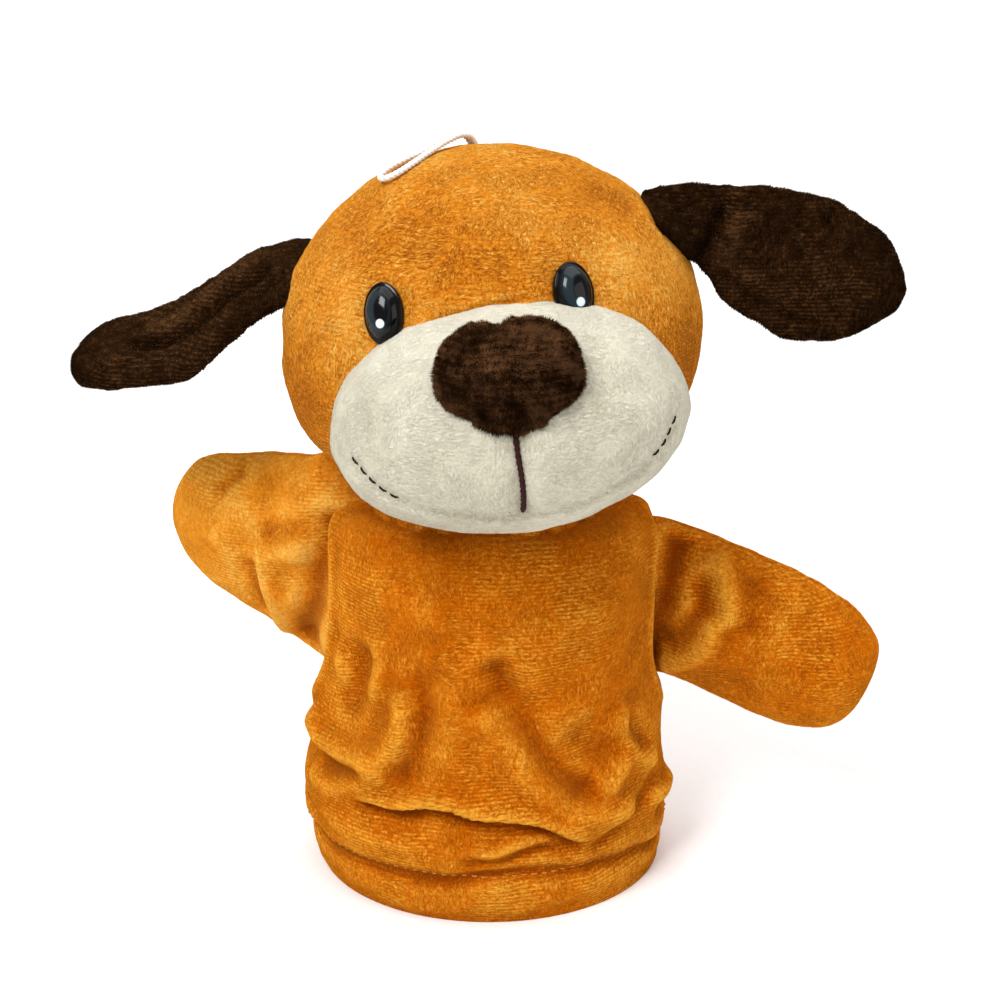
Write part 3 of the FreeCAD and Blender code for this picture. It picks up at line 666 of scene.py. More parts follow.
# Folds of the front, each a line of (degrees from the front, height), its width and heights.
FRONT_FOLDS = (
    # the hem's sewn line, pulled in, with the turned-up cloth full below it
    (((-95, 14), (-57, 16.5), (-39, 16), (-11, 17), (4, 18), (18, 19), (34, 18), (52, 14.5),
      (70, 10), (95, 10)), 2.4, -2.3),
    # cloth that laps over above the hem
    (((-46, 37), (-30, 40.5), (-14, 42), (-3, 38.5), (10, 36.5), (27, 31), (35, 29)),
     7.0, 3.0, -2.8),
    (((27, 28), (14, 26.5), (0, 24), (-12, 22.5)), 2.8, -2.2),
    (((27, 31), (18, 30), (6, 27), (-8, 25)), 2.6, 2.2),
    (((-62, 30), (-40, 27), (-16, 28)), 4.0, 1.2),
    (((-58, 8), (-30, 7), (0, 8), (30, 9), (56, 8)), 5.0, 1.0),
    (((30, 24), (44, 27), (58, 33), (72, 38)), 3.4, -1.8),
    # the long fold that runs down to the left hand side
    (((0, 98), (4, 86), (11, 70), (19, 57), (30, 45), (38, 43)), 6.0, -4.4),
    (((0, 84), (8, 68), (14, 58), (24, 45), (34, 36), (45, 33), (54, 37)), 6.2, 3.8),
    (((33, 43), (39, 44), (46, 50), (50, 58)), 4.4, 2.8),
    (((44, 74), (51, 62), (60, 48), (66, 40)), 5.0, 3.4),
    (((50, 70), (57, 58), (66, 50)), 4.2, -3.2),
    (((26, 70), (36, 60), (44, 52)), 6.5, -2.4),
    # the bunched pocket low on the right hand side
    (((-78, 64), (-72, 57), (-65, 54), (-52, 53), (-41, 55), (-33, 60), (-29, 70), (-28, 86)),
     5.2, 4.0),
    (((-48, 98), (-50, 82), (-54, 62)), 6.4, -3.2),
    (((-38, 102), (-41, 88), (-44, 72)), 4.4, 2.2),
    (((-61, 92), (-58, 80), (-55, 72)), 4.0, 2.4),
    (((-68, 49), (-56, 48), (-44, 48), (-37, 52)), 3.8, -3.0),
    (((-30, 58), (-37, 50), (-48, 43), (-62, 39), (-74, 39)), 4.6, 3.0),
    (((-23, 94), (-21, 76), (-24, 58), (-31, 47)), 5.5, -2.2),
    (((-12, 92), (-12, 72), (-16, 54)), 6.5, 1.3),
    # soft pulls from the arms across the chest
    (((-66, 120), (-40, 113), (-12, 111)), 8.0, 0.9),
    (((62, 116), (40, 106), (18, 101)), 8.0, 0.9),
    (((66, 100), (54, 88), (40, 80)), 6.0, -1.2),
    (((-88, 32), (-76, 25), (-62, 24)), 3.2, -2.0),
    (((64, 25), (76, 21), (90, 25)), 3.2, -2.0),
    (((58, 33), (72, 31), (88, 35)), 4.0, 2.6),
)
BACK_FOLDS = (
    (((85, 11), (110, 15), (140, 17), (180, 17), (220, 17), (250, 16), (275, 14)), 2.4, -2.3),
    (((146, 42), (170, 36), (190, 37), (218, 43)), 6.5, 2.6, -2.4),
    (((126, 88), (140, 64), (150, 46)), 6.0, -3.6),
    (((134, 92), (150, 68), (164, 50)), 5.2, 3.0),
    (((236, 88), (222, 68), (206, 52)), 6.0, -3.4),
    (((228, 94), (212, 72), (196, 56)), 5.2, 2.8),
    (((180, 120), (178, 92), (182, 66)), 9.0, -2.4),
    (((108, 36), (128, 31), (148, 34)), 4.6, 2.6),
    (((212, 31), (232, 32), (252, 37)), 4.6, 2.6),
    (((104, 60), (118, 50), (132, 40)), 4.6, 2.2),
    (((256, 60), (244, 50), (230, 42)), 4.6, 2.2),
)
# the socket in each side that an arm comes out of: degrees, height, half width in degrees and half
# height, and how deep it goes
SOCKETS = ((91.0, 96.0, 19.0, 31.0, 11.0), (-93.0, 99.0, 20.0, 33.0, 11.0))


def glove_relief(angles, heights, folds):
    """How far the glove's cloth stands off its smooth form."""
    turn, high = np.broadcast_arrays(angles[None, :], heights)
    spots = np.stack([turn * ARC, high], -1)
    # nothing in cloth is quite straight or even
    flat = np.concatenate([spots, 0 * spots[..., :1]], -1)
    uneven = 1.25 + 0.30 * noise(flat, 17, 8)
    spots = spots + np.stack([bumps(flat, (1.7, 13, seed)) for seed in (6, 7)], -1)
    relief = folded(spots, folds, 24, fade=9.0, scale=(ARC, 1)) * uneven
    for middle, level, wide, tall, deep in SOCKETS:
        across = (turn - middle + 180) % 360 - 180
        reach = np.sqrt((across / wide) ** 2 + ((high - level) / tall) ** 2)
        relief -= deep * (1 - ease(reach, 0.80, 1.04))
        relief += 1.3 * bell(reach - 1.14, 0.13)
    for seam in (90.0, -90.0, 270.0):
        below = 1 - ease(high, SEAM_HIGH, SEAM_HIGH + 6)
        relief -= 1.2 * bell((turn - seam) * ARC, 1.5) * below
    return relief


def make_glove_panel(name, start, stop, folds, replaced):
    rows, columns = ((176, 226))
    angles = np.linspace(start, stop, columns)
    grid = glove_surface(angles, rows)
    out = grid_normals(grid, around=False)
    relief = glove_relief(angles, grid[..., 2], folds)
    relief = relief + bumps(grid, (1.0, 22, 3), (0.45, 9, 4), (0.10, 1.1, 5))
    relief = relief * ease(grid[..., 2], -1, 5)
    outer = grid + out * relief[..., None]
    inner = outer - out * FABRIC
    for side in (outer, inner):
        side[..., 2] = np.maximum(side[..., 2], 0.0)
    # fold values for painted highlight on the folds' ridges and painted shade in their creases
    panel = cloth_shell(name, outer, inner, fold=standing(relief, 0.85, around=False))
    dress(panel, ORANGE, "orange_plush", "glove", replaced)
    return outer


front_cloth = make_glove_panel("glove_front_cloth", -90, 90, FRONT_FOLDS, "glove_front_panel")
back_cloth = make_glove_panel("glove_back_cloth", 90, 270, BACK_FOLDS, "glove_back_panel")


# ---- arms ----

# Each arm's pivot and way, its outline seen from the side (distance out, top, bottom and half
# thickness), and its folds: lines of (distance out, height), their width and their height.
ARMS = {
    "left": {
        "pivot": (52, 0, 100), "raised": -21.0, "forward": 6.0, "sign": 1,
        "outline": ((-8, 24.0, -27.5, 11.5), (4, 27.0, -27.0, 13.4), (15, 28.6, -25.8, 14.6),
                    (34, 27.6, -26.0, 15.2), (52, 26.4, -26.6, 15.0), (64, 24.0, -26.0, 14.2),
                    (73, 20.6, -24.0, 12.6), (80, 15.0, -20.0, 9.6), (83.2, 8.5, -14.5, 5.6),
                    (84.2, 1.0, -7.5, 1.0)),
        "folds": (
            (((2, 30), (5, 18), (7, 6), (9, -6), (9, -20), (6, -30)), 5.5, -6.0),
            (((12, 25), (20, 21), (26, 13), (30, 3)), 4.0, 2.8),
            (((14, 20), (18, 8), (17, -4), (12, -14)), 4.2, -2.8),
            (((22, 8), (25, -4), (20, -15), (13, -23)), 4.4, 3.0),
            (((32, 26), (36, 14), (40, 4)), 7.0, -0.9),
            (((60, 31), (61, 26), (62, 21)), 2.6, -1.6),
            (((26, -27), (36, -16), (50, -11)), 6.0, -1.2),
        ),
    },
    "right": {
        "pivot": (-48, 2, 98), "raised": 20.0, "forward": -28.0, "sign": -1,
        "outline": ((-8, 36.0, -26.0, 11.5), (4, 42.5, -28.0, 13.6), (15, 44.5, -28.0, 14.8),
                    (28, 41.0, -26.8, 15.2), (42, 34.0, -25.8, 15.0), (54, 27.5, -23.8, 14.0),
                    (63, 21.8, -19.5, 11.6), (69.5, 15.0, -13.5, 8.0), (72.6, 7.5, -6.0, 4.4),
                    (73.6, 1.0, 0.5, 1.0)),
        "folds": (
            (((8, -28), (6, -14), (6, 2), (8, 18), (10, 34)), 5.5, -6.0),
            (((27, 6), (23, -6), (17, -18), (12, -27)), 3.4, 2.8),
            (((34, 4), (29, -9), (22, -21)), 4.2, -2.6),
            (((8, 16), (16, 13), (25, 7), (32, 2)), 3.6, 1.7),
            (((12, 26), (22, 20), (32, 12)), 4.5, -1.8),
            (((46, 30), (50, 22), (54, 13)), 3.2, -2.0),
            (((40, 24), (44, 10), (46, -4)), 6.0, 1.4),
        ),
    },
}


def arm_axes(arm):
    """The arm's pivot and its directions: along it, up across it, and to its front."""
    raised, forward = math.radians(arm["raised"]), math.radians(arm["forward"])
    along = np.array([arm["sign"] * math.cos(raised) * math.cos(forward),
                      -math.cos(raised) * math.sin(forward), math.sin(raised)])
    up = unit(np.array([0, 0, 1.0]) - along[2] * along)
    return np.array(arm["pivot"], float), along, up, np.cross(along, up) * arm["sign"]


def make_arm(side):
    """A sleeve sewn from a front and a back panel along its top, hand and underside."""
    arm = ARMS[side]
    pivot, along, up, front = arm_axes(arm)
    rows, columns = ((120, 190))
    reach, top, bottom, half = smooth_line(arm["outline"], rows).T
    angles = circle(columns)
    cos, sin = np.cos(angles), np.sin(angles)
    middle, tall = (top + bottom) / 2, (top - bottom) / 2
    level = middle[:, None] + tall[:, None] * sin
    # the sleeve starts upright in the glove's side, and is square to its own way further out
    upright = level * math.tan(math.radians(arm["raised"]))
    along_arm = reach[:, None] + upright * (1 - ease(reach, -2, 34))[:, None]
    # the seams along the top and bottom edges make the cloth a little pointed there
    ahead = half[:, None] * np.sign(cos) * np.abs(cos) ** 1.12
    # the folds are shallower on the back
    depth = np.where(cos > 0, 1.0, 0.7) * ease(np.abs(cos), 0.1, 0.5)
    relief = folded(np.stack([along_arm, level], -1), arm["folds"], 16) * depth
    grid = (pivot + along_arm[..., None] * along + level[..., None] * up
            + ahead[..., None] * front)
    out = unit(cos[None, :, None] * front / np.maximum(half, 1)[:, None, None]
               + sin[None, :, None] * up / np.maximum(tall, 1)[:, None, None])
    taper = np.clip(-np.gradient(tall, reach), 0, 3)
    out = unit(out + 0.8 * taper[:, None, None] * along)
    seam = 0.9 * np.exp((np.abs(sin) - 1) / 0.006)
    relief = relief - seam * ease(reach, 2, 12)[:, None]
    relief = relief + bumps(grid, (1.0, 15, 11), (0.5, 7, 12), (0.10, 1.1, 13))
    relief = relief * ease(reach[-1] - reach, 0, 6)[:, None]
    # fold values for painted highlight on the sleeve's ridges and painted shade in its creases and
    # at its root
    fold = standing(relief, 0.75, around=True)
    outer = grid + out * relief[..., None]
    if side == "left":
        # its columns run the other way round
        outer, out, fold = outer[:, ::-1], out[:, ::-1], fold[:, ::-1]
    shrink = ease(reach[-1] - reach, 0, 3)[:, None, None]
    inner = (outer - out * FABRIC) * shrink + (outer - along * FABRIC) * (1 - shrink)
    sleeve = cloth_shell(f"arm_{side}_sleeve", outer, inner, around=True, tip=True, fold=fold)
    dress(sleeve, ARM_LIT if side == "right" else ORANGE, "orange_plush", None,
          f"arm_{side}_front_panel", f"arm_{side}_back_panel", f"armhole_binding_{side}",
          f"arm_{side}_seam_thread")
    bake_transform(sleeve)


for arm_side in ARMS:
    make_arm(arm_side)


# ---- neck ----

# The cloth that joins the glove to the head, in three lengths, one for each neck hinge: the bodies
# that it joins, the node that it stands for, its height, half width and half depth at each level,
# and how tall it lies flat.
NECK = (
    ("neck_cloth_low", "glove", "neck_lower", ["neck_collar"],
     ((124, 41.0, 31.6), (130, 39.8, 30.6), (134.5, 38.6, 29.6)), 0.013),
    ("neck_cloth_middle", "neck_lower", "neck_upper", ["neck_band"],
     ((134.5, 38.6, 29.6), (137.0, 38.0, 29.0), (139.5, 37.8, 28.8)), 0.006),
    ("neck_cloth_top", "neck_upper", "head", [],
     ((139.5, 37.8, 28.8), (144, 38.6, 29.6), (150, 40.0, 29.0), (157, 41.0, 28.0)), 0.022),
)


def make_neck():
    angles = circle(180)
    gathers = (1 + 0.007 * np.cos(17 * angles + 1.2 * np.sin(3 * angles))
               + 0.006 * np.cos(29 * angles + 2.0 * np.sin(2 * angles)))
    for name, lower, upper, nodes, levels, tall in NECK:
        high, wide, deep = smooth_line(levels, 14).T[..., None]
        x = wide * np.sin(angles) * gathers
        y = -deep * np.cos(angles) * gathers - 1.0
        # the fold values paint highlight on the gathers and shade between them
        z, folds = (np.broadcast_to(values, x.shape) for values in (high, (gathers - 1) * 40))
        cloth = cloth_shell(name, np.stack([x, y, z], -1), around=True, fold=folds)
        dress(cloth, ORANGE, "orange_plush", None, *nodes)
        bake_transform(cloth)


make_neck()


# ---- head ----

HEAD_TURN = turned("Z", 4.0) @ turned("Y", -6.0) @ turned("X", -17.0)
HEAD_CENTRE = np.array((1.0, -6.0, 192.0))
HEAD_HALF = (66.0, 50.0)
CROWN, JAW = 58.5, 46.0
# the opening for the finger tube: its middle, its half width, the height that it is cut below and
# the height where its cloth ends inside
TUBE_MIDDLE, TUBE_HALF, TUBE_MOUTH, TUBE_TOP = (0.0, -2.0), 13.6, 170, 203
MUZZLE_CENTRE = np.array((1.5, -36.0, -26.0))
MUZZLE_HALF = np.array((53.3, 36.0, 33.4))
MOUTH_HALF = (47.0, 27.0)   # the oval that the mouth follows, from the muzzle's centre
NOSE_CENTRE = np.array((1.5, -69.0, -13.0))
NOSE_HALF = np.array((19.8, 9.4, 15.6))
EYE_HALF = (6.0, 9.0)
EYE_SPOTS = {"left": (23.6, 8.2), "right": (-31.2, 8.9)}


def to_head(points):
    """Points of the puppet as points from the head's centre, along the head's own axes."""
    return (np.asarray(points, float) - HEAD_CENTRE) @ HEAD_TURN


def from_head(points):
    return np.asarray(points, float) @ HEAD_TURN.T + HEAD_CENTRE


def head_surface(directions):
    """How far the head's cloth is from its centre, along each of its own directions."""
    x, y, z = np.moveaxis(directions, -1, 0)
    tall = np.where(z > 0, CROWN, JAW)
    reach = 1 / np.sqrt((x / HEAD_HALF[0]) ** 2 + (y / HEAD_HALF[1]) ** 2 + (z / tall) ** 2)
    # full cheeks, low down
    return reach * (1 + 0.085 * bell(z + 0.52, 0.34) * ease(np.abs(x), 0.2, 0.75))


# Creases over the muzzle and the brow, each a line of (across, up) on the front of the head.
HEAD_FOLDS = (
    (((-24, -1), (-12, 3), (2, 5.5), (14, 6.5)), 1.6, 1.1),
    (((-26, 3), (-14, 7), (0, 9), (10, 10)), 1.6, 0.9),
    (((-25, 1), (-13, 5), (1, 7.3), (12, 8.2)), 1.1, -0.9),
    (((-22, 8), (-10, 11), (4, 13)), 2.0, 0.6),
    (((-34, -8), (-42, -14), (-48, -24)), 2.6, -1.0),
    (((38, -4), (46, -10), (52, -20)), 2.6, -1.0),
    (((-40, 30), (-34, 38), (-26, 44)), 5.0, -1.2),
    (((30, 40), (40, 34), (47, 26)), 5.0, -1.0),
)


def head_relief(local):
    """The folds and hollows of the head's cloth, in millimetres, from places on the head."""
    x, y, z = np.moveaxis(local, -1, 0)
    relief = bumps(local, (1.0, 24, 21), (0.5, 9, 22))
    ahead = ease(-y, 0, 14)
    relief = relief + folded(np.stack([x, z], -1), HEAD_FOLDS, 12, fade=5.0) * ahead
    for across, up in EYE_SPOTS.values():
        away = np.hypot((x - across) / (EYE_HALF[0] + 2), (z - up) / (EYE_HALF[1] + 2))
        relief = relief - 1.1 * bell(away ** 2, 1.0) * ahead
    # the hanging cord lies flat on a calm part of the crown
    calm = bell(((x + 16) / 20) ** 2 + ((y - 6) / 18) ** 2, 1.0) * ease(z, 30, 45)
    relief = relief * (1 - 0.9 * calm)
    # the seam between the front and the back panels
    return relief - 1.5 * bell(y, 1.4) * ease(z, -34, -10)


def make_head():
    directions, faces = round_cube(124)
    local = directions * head_surface(directions)[:, None]
    out = unit(local / np.array([HEAD_HALF[0] ** 2, HEAD_HALF[1] ** 2, 52.0 ** 2]))
    relief = head_relief(local)
    local = local + out * (relief + 0.14 * noise(local, 1.2, 23))[:, None]
    points = from_head(local)
    side = TUBE_HALF - np.linalg.norm(points[:, :2] - TUBE_MIDDLE, axis=1)
    depth = ease(side, 0.0, 2.4) * (points[:, 2] < TUBE_MOUTH)
    points[:, 2] += depth * (TUBE_TOP - points[:, 2])
    # painted shade low on the cheeks, with painted highlight and shade from the head's relief
    cheek_shade = ease(np.abs(local[:, 0]), 36, 60) * ease(14 - local[:, 2], 0, 26)
    fold = np.clip(relief * 0.28, -1, 1) - 0.38 * cheek_shade
    head = make_mesh("head_plush", points, faces, fold=fold)
    dress(head, HEAD_PAINTED_LIT, "orange_plush", "head", "head_front_panel", "head_back_panel",
          "head_stuffing", "head_seam_thread")


def muzzle_relief(local):
    """The lobes and pulled-in lines of the muzzle."""
    spot = local - MUZZLE_CENTRE
    x, y, z = np.moveaxis(spot, -1, 0)
    mouth = bell(np.hypot(x / MOUTH_HALF[0], z / MOUTH_HALF[1]) - 1, 0.045) * ease(-z, 1, 9)
    chin_line = bell(x, 3.0) * ease(-z, -6, 2) * ease(z, -34, -24)
    pulled = (1.5 * mouth + 1.8 * chin_line) * ease(-y, 4, 16)
    return bumps(spot, (0.9, 17, 31), (0.5, 7, 32)) + 2.2 * ease(z, 6, 30) - pulled


def make_muzzle():
    directions, faces = round_cube(96)
    local = MUZZLE_CENTRE + directions * MUZZLE_HALF
    out = unit(directions / MUZZLE_HALF)
    local = local + out * (muzzle_relief(local) + 0.12 * noise(local, 1.1, 33))[:, None]
    # painted highlight on the muzzle's lobes and painted shade in its pulled-in lines
    fold = np.clip(muzzle_relief(local) * 0.22, -1, 0.4)
    muzzle = make_mesh("muzzle_plush", from_head(local), faces, fold=fold)
    dress(muzzle, CREAM, "cream_plush", "head", "muzzle_cover", "muzzle_stuffing")


def clump(points, size, seed):
    """A smooth field of directions, which makes tufts near each other lean the same way."""
    return np.stack([noise(points, size, seed + k) for k in range(3)], -1)


def make_nose():
    directions, faces = round_cube(76)
    x, y, z = directions.T
    # wide above, with a dimple in its top edge, and narrowing below
    reach = 1 + 0.07 * ease(np.abs(x), 0.2, 0.7) * ease(z, 0.1, 0.7)
    reach = reach - 0.13 * bell(x + 0.05, 0.17) * ease(z, 0.35, 0.9)
    reach = reach - 0.10 * ease(np.abs(x), 0.30, 0.75) * ease(-z, 0.25, 0.8)
    local = NOSE_CENTRE + directions * NOSE_HALF * reach[:, None]
    local[:, 1] += 1.8 * bell(x + 0.05, 0.16) * ease(-y, 0.0, 0.6) * ease(z, -0.1, 0.6)
    rng = np.random.default_rng(5)

    def lengths(middle):
        return 1.55 + 0.75 * noise(middle, 2.6, 41)

    def lean(middle):
        radial = unit((middle - NOSE_CENTRE) * (1, 0, 1))
        return radial * 0.55 + np.array((0.1, 0, -0.35)) + 0.9 * clump(middle, 2.3, 42)

    points, fans = tufted(local, faces, lengths, lean, rng, 0.20)
    # painted shade at the roots of the tufts and painted highlight on their tips, lighter and
    # darker in patches at random
    fold = np.concatenate([np.full(len(local), -0.5), np.full(len(faces), 0.9)])
    fold = fold + bumps(points, (0.9, 2.6, 41), (0.5, 6, 45))
    nose = make_mesh("nose_plush", from_head(points), fans, fold=fold)
    dress(nose, NOSE, "nose_plush", "head", "nose_cover", "nose_stuffing")


make_head()
make_muzzle()
make_nose()


# ---- eyes ----

# the share of the eye's half width, and how far it stands out
EYE_PROFILE = (
    (1.0, -1.2), (1.02, 0.2), (1.0, 0.75), (0.955, 1.0), (0.91, 0.98), (0.885, 1.05),
    (0.86, 1.55), (0.80, 2.15), (0.68, 2.95), (0.50, 3.6), (0.28, 4.0), (0.08, 4.12),
)


def eye_place(x, z):
    """A place on the front of the head: its point, and its directions across, up and out."""
    y = -HEAD_HALF[1] * math.sqrt(1 - (x / HEAD_HALF[0]) ** 2 - (z / CROWN) ** 2)
    out = unit(np.array([x / HEAD_HALF[0] ** 2, y / HEAD_HALF[1] ** 2, z / CROWN ** 2]))
    up = unit(np.array([0, 0, 1.0]) - out[2] * out)
    return np.array([x, y, z]), np.cross(up, out), up, out


def eye_material(name, middle, across, up):
    """Black plastic, with a painted slate reflection inside its edge and a small white glint below
    the middle.
    """
    n = Nodes(name)
    spot = n.add("TexCoord", {}).outputs["Object"]
    away = n.vector("SUBTRACT", spot, tuple(middle * MM))[0]
    shares = [n.vector("DOT_PRODUCT", away, tuple(way / MM))["Value"] for way in (across, up)]

    def oval(centre, half):
        """How far from a centre, where 1 is the edge of an oval."""
        squares = []
        for share, place, size in zip(shares, centre, half):
            one = n.math("DIVIDE", n.math("SUBTRACT", share, place), size)
            squares.append(n.math("MULTIPLY", one, one))
        return n.math("SQRT", n.math("ADD", *squares))

    # a slate crescent inside the edge, a painted reflection
    ring = n.span(oval((-0.6, 0.6), (4.4, 7.0)), 0.72, 1.0, 1.0, 0.0)
    pupil = n.span(oval((0.9, 0.4), (2.6, 4.8)), 0.75, 1.0, 1.0, 0.0)
    slate_reflection = n.math("MULTIPLY", ring, n.math("SUBTRACT", 1.0, pupil), clamp=True)
    base = n.mix(slate_reflection, (0.0012, 0.0012, 0.0016, 1), (0.014, 0.023, 0.028, 1))
    glint = n.span(oval((0.3, -3.3), (1.35, 1.35)), 0.84, 1.06, 1.0, 0.0)
    colour = n.mix(glint, base, (0.66, 0.76, 0.79, 1))
    return n.set(base_color=colour, roughness=0.12, coat_weight=0.04, coat_roughness=0.08,
                 specular_ior_level=0.20)


def make_eye(side, x, z):
    """An oval moulded eye: a thin rim, a step and a dome."""
    base, across, up, out = eye_place(x, z)
    share, proud = smooth_line(EYE_PROFILE, 60).T[..., None, None]
    angles = circle(96)[:, None]
    oval = EYE_HALF[0] * np.cos(angles) * across + EYE_HALF[1] * np.sin(angles) * up
    eye = closed_forms(f"eye_{side}_button", [from_head(base + share * oval + proud * out)])
    plastic = eye_material(f"eye_{side}_plastic", from_head(base), HEAD_TURN @ across,
                           HEAD_TURN @ up)
    dress(eye, plastic, "eye_plastic", "head", f"eye_{side}")


for eye_side, spot in EYE_SPOTS.items():
    make_eye(eye_side, *spot)
    paint(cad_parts[f"eye_washer_{eye_side}"], WASHER)
paint(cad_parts["head_finger_tube"], TUBE_CLOTH)


# ---- ears ----

# Each ear's root, directions and outline: distance out, high edge, low edge and half thickness.
EARS = {
    "left": {
        "root": (63.5, -4, 224), "along": (0.95, -0.06, -0.31), "across": (0.30, 0.10, 0.95),
        "outline": ((-19, 6.8, -7.5, 1.6), (-14, 9.8, -9.0, 3.0), (-6, 13.4, -9.0, 3.8),
                    (2, 15.6, -8.0, 4.0), (8, 17.4, -10.6, 4.2), (16, 19.4, -16.5, 4.6),
                    (27, 21.2, -19.8, 4.8), (38, 22.4, -22.3, 4.6), (50, 19.9, -18.8, 4.4),
                    (58, 15.8, -13.6, 4.0), (64, 10.4, -8.4, 3.2), (67.4, 5.2, -3.6, 2.0),
                    (68.6, 1.0, 0.2, 0.8)),
        "sag": 0.0, "seed": 7,
        "folds": ((((6, 14), (5, 4), (4, -10)), 2.6, -2.8),
                  (((12, 14), (11, 2), (10, -8)), 3.0, 1.6),
                  (((10, -8), (22, -12), (38, -15), (50, -13)), 1.6, -1.0),
                  (((6, -3), (16, -7), (26, -9)), 3.0, 1.3)),
    },
    "right": {
        "root": (-63, 2, 211), "along": (-0.91, -0.09, -0.41), "across": (0.10, -0.96, -0.25),
        "outline": ((-10, 12.0, -10.0, 3.0), (-3, 18.5, -14.0, 4.6), (2, 19.5, -15.5, 5.0),
                    (7, 17.0, -16.5, 5.0), (19, 18.0, -18.5, 5.0), (34, 21.5, -21.0, 5.2),
                    (46, 21.5, -21.0, 5.0), (58, 20.0, -19.8, 4.8), (65, 17.6, -17.8, 4.4),
                    (70.5, 13.6, -14.4, 3.8), (73.6, 8.2, -9.0, 2.8), (75.0, 2.4, -3.4, 1.0)),
        "sag": -6.5, "seed": 8,
        "folds": ((((2, 3), (18, 6), (36, 7), (56, 5)), 3.4, -3.0),
                  (((0, -6), (16, -5), (34, -3), (50, -4)), 5.0, 1.8),
                  (((-2, 12), (8, 13), (20, 14)), 3.0, -1.4),
                  (((62, 2), (70, 0), (76, -2)), 2.2, -1.6)),
    },
}


def onto_head(points, proud):
    """Points that lie inside the head, moved out to stand a little proud of its cloth."""
    local = to_head(points)
    length = np.linalg.norm(local, axis=-1, keepdims=True)
    reach = head_surface(unit(local))[..., None] + proud[..., None]
    return np.where(length < reach, from_head(unit(local) * reach), points)


def make_ear(side):
    ear = EARS[side]
    root = np.array(ear["root"], float)
    along = unit(ear["along"])
    across = np.array(ear["across"], float)
    across = unit(across - (across @ along) * along)
    face = np.cross(along, across)
    # the face that is seen from the front or from above
    face = face if face @ (0, -1, 1) > 0 else -face
    rows, columns = ((120, 186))
    reach, high, low, half = smooth_line(ear["outline"], rows).T[..., None]
    angles = circle(columns)
    cos, sin = np.cos(angles), np.sin(angles)
    level = (high + low) / 2 + (high - low) / 2 * cos
    lift = half * np.sign(sin) * np.abs(sin) ** 0.72
    spots = np.stack([np.broadcast_to(reach, level.shape), level], -1)
    relief = folded(spots, ear["folds"], 14)
    lift = lift + relief * np.where(sin > 0, 1.0, 0.35) * ease(np.abs(sin), 0.0, 0.4)
    grid = root + reach[..., None] * along + level[..., None] * across + lift[..., None] * face
    grid[..., 2] += ear["sag"] * bell(reach - 38, 17)
    if side == "left":
        # its root lies forward, sewn down on the side of the head
        grid[..., 1] -= 10 * (1 - ease(reach, -19, 8)) * (1 - ease(level, -7, 11))
        near = 1 - ease(reach, -2, 5)[..., None]
        grid = grid + (onto_head(grid, 0.4 + np.maximum(lift, -0.3)) - grid) * near
    out = grid_normals(grid)
    if np.sum(out[rows // 2, columns // 4] * face) < 0:
        out, grid, relief = -out[:, ::-1], grid[:, ::-1], relief[:, ::-1]
    uneven = bumps(grid, (0.9, 12, 51), (0.4, 5, 52)) * ease(reach, -2, 8)
    grid = grid + out * uneven[..., None]
    numbers = grid_numbers(rows, columns)
    quads = grid_faces(numbers)
    rng = np.random.default_rng(ear["seed"])

    def lengths(middle):
        return 0.80 + 0.35 * noise(middle, 3, 53)

    def lean(middle):
        return along * 0.9 + 0.9 * clump(middle, 2.4, 54)

    tufts, fans = tufted(with_ends(grid), quads, lengths, lean, rng, 0.22)
    # painted shade in the ear's creases and at the roots of its tufts, painted highlight on its
    # ridges and tips, and lighter and darker at random
    fold = np.concatenate([relief.ravel() * 0.45 - 0.3, [0, 0],
                           np.full(len(quads), 0.15)]) + 0.3 * noise(tufts, 2.0, 56)
    thing = make_mesh(f"ear_{side}_plush", tufts, closed_faces(numbers, fans), fold=fold)
    dress(thing, BROWN, "brown_plush", None, f"ear_{side}_front_panel",
          f"ear_{side}_back_panel", f"ear_{side}_batting")
    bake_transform(thing)


for ear_side in EARS:
    make_ear(ear_side)


# ---- stitching ----

# the mouth's first and last degrees round its oval, and the length of its stitches and their gaps
MOUTH_ENDS = (189, 353)
MOUTH_STITCH, MOUTH_GAP = 2.9, 0.8
HEM_STEP = 5   # one stitch for every so many points round the hem
# the winding thread at the foot of the hem: how far it goes in and out, and up and down from its
# middle height, and how far the middle is inside the cloth
WIND_OUT, WIND_UP, WIND_MIDDLE, WIND_INSIDE = 0.55, 0.50, 0.75, 0.7


def on_muzzle(x, z, proud):
    """A place on the muzzle's front, from its own centre, standing proud by a little."""
    y = -MUZZLE_HALF[1] * np.sqrt(np.maximum(
        1 - (x / MUZZLE_HALF[0]) ** 2 - (z / MUZZLE_HALF[2]) ** 2, 0.0))
    local = MUZZLE_CENTRE + np.stack([x, y, z], -1)
    out = unit(np.stack([x, y, z], -1) / MUZZLE_HALF ** 2)
    return local + out * (proud + muzzle_relief(local))[..., None]


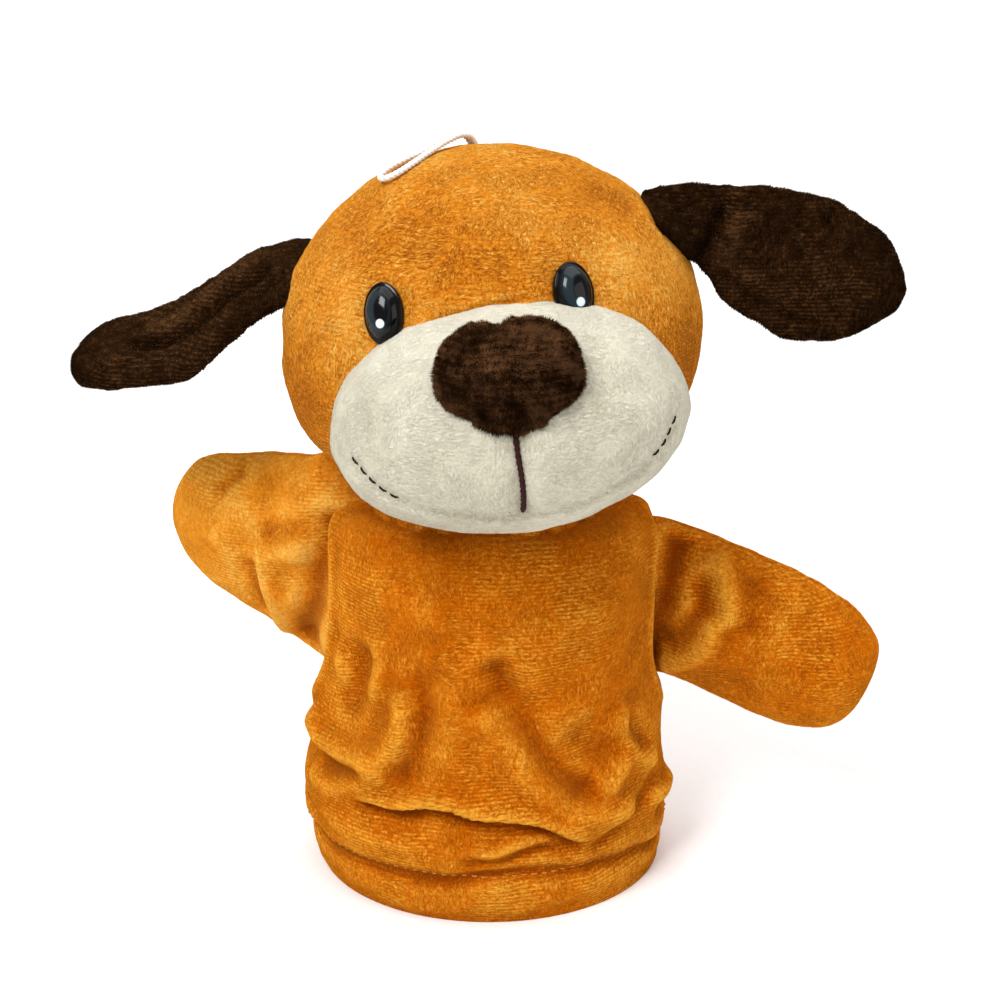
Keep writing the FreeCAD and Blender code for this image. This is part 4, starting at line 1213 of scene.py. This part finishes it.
def make_face_threads():
    heights = np.linspace(-2.0, -27.5, 90)
    path = on_muzzle(0.25 * np.sin(heights / 4.0), heights, 0.35 + 0.1 * np.sin(heights * 2))
    philtrum = threads("philtrum_stitches", [from_head(path)], 0.88, 1.9)
    dress(philtrum, DARK_THREAD, "dark_thread", "head", "philtrum_thread")

    # the mouth: stitches that show at the corners and sink into the pile between them
    paths = []
    first, last = (math.radians(angle) for angle in MOUTH_ENDS)
    turn = first
    while turn < last:
        pace = math.hypot(MOUTH_HALF[0] * math.sin(turn), MOUTH_HALF[1] * math.cos(turn))
        stop = turn + MOUTH_STITCH / pace
        share = np.linspace(0, 1, 12)
        angles = turn + (stop - turn) * share
        near_end = min(turn - first, last - turn) < math.radians(30)
        dip = (0.35 if near_end else -0.32) - 1.1 * np.abs(2 * share - 1) ** 4
        path = on_muzzle(MOUTH_HALF[0] * np.cos(angles), MOUTH_HALF[1] * np.sin(angles), dip)
        paths.append(from_head(path))
        turn = stop + MOUTH_GAP / pace
    mouth = threads("mouth_stitches", paths, 0.33, 1.0, sides=8)
    dress(mouth, DARK_THREAD, "dark_thread", "head", "mouth_thread")


make_face_threads()


def outwards(points):
    """The level way out from the middle of the glove at each point."""
    return unit(points * (1, 1, 0))


def make_hem_stitches():
    """Short stitches round the hem, where the turned-up cloth is sewn down."""
    paths = []
    for cloth in (front_cloth, back_cloth):
        row = int(np.argmin(np.abs(cloth[:, cloth.shape[1] // 2, 2] - TURN_UP)))
        line = smooth_line(cloth[row], 260)
        out = outwards(line)
        dip = 0.15 - np.linspace(-1, 1, 8)[:, None] ** 4
        for first in range(2, len(line) - HEM_STEP, HEM_STEP):
            stitch = smooth_line(line[first:first + HEM_STEP - 1], len(dip))
            paths.append(stitch + out[first] * dip)
    hem = threads("hem_stitches", paths, 0.32, 0.8, sides=6)
    dress(hem, ORANGE_THREAD, "orange_thread", "glove", "hem_stitching")


make_hem_stitches()


def make_hem_overlock():
    """The grey thread that winds round the cloth's cut edge at the foot of the hem."""
    ring = np.concatenate([front_cloth[0], back_cloth[0, 1:-1]])
    ring = ring[np.linspace(0, len(ring) - 1, 300).astype(int)]
    inner = ring - outwards(ring) * WIND_INSIDE
    count = 3200
    run = np.linspace(0, len(ring) - 1, count)
    base = np.stack([np.interp(run, np.arange(len(ring)), inner[:, axis]) for axis in range(3)], 1)
    turn = np.linspace(0, 2 * math.pi * count / 8, count)
    path = base + outwards(base) * (WIND_OUT * np.cos(turn))[:, None]
    path[:, 2] = WIND_MIDDLE + WIND_UP * np.sin(turn)
    thread = threads("hem_overlock", [path], 0.22, 1.0, sides=5)
    dress(thread, HEM_THREAD, "hem_thread", "glove")


make_hem_overlock()


def make_side_seams():
    """Small slanting stitches down each side seam of the glove."""
    for side, column, way in (("left", -1, 1.0), ("right", 0, -1.0)):
        line = front_cloth[:, column]
        line = smooth_line(line[(line[:, 2] > SEAM_LOW) & (line[:, 2] < SEAM_HIGH)], 30)
        paths = []
        for one, two in zip(line[:-1:2], line[1::2]):
            middle = (one + two) / 2 + (0.6 * way, 0, 0)
            paths.append(smooth_line((one + (0, -0.9, 0), middle, two + (0, 0.9, 0)), 8))
        seam = threads(f"side_seam_{side}_stitches", paths, 0.3, 0.8, sides=6)
        dress(seam, ORANGE_THREAD, "orange_thread", "glove", f"side_seam_thread_{side}")


make_side_seams()
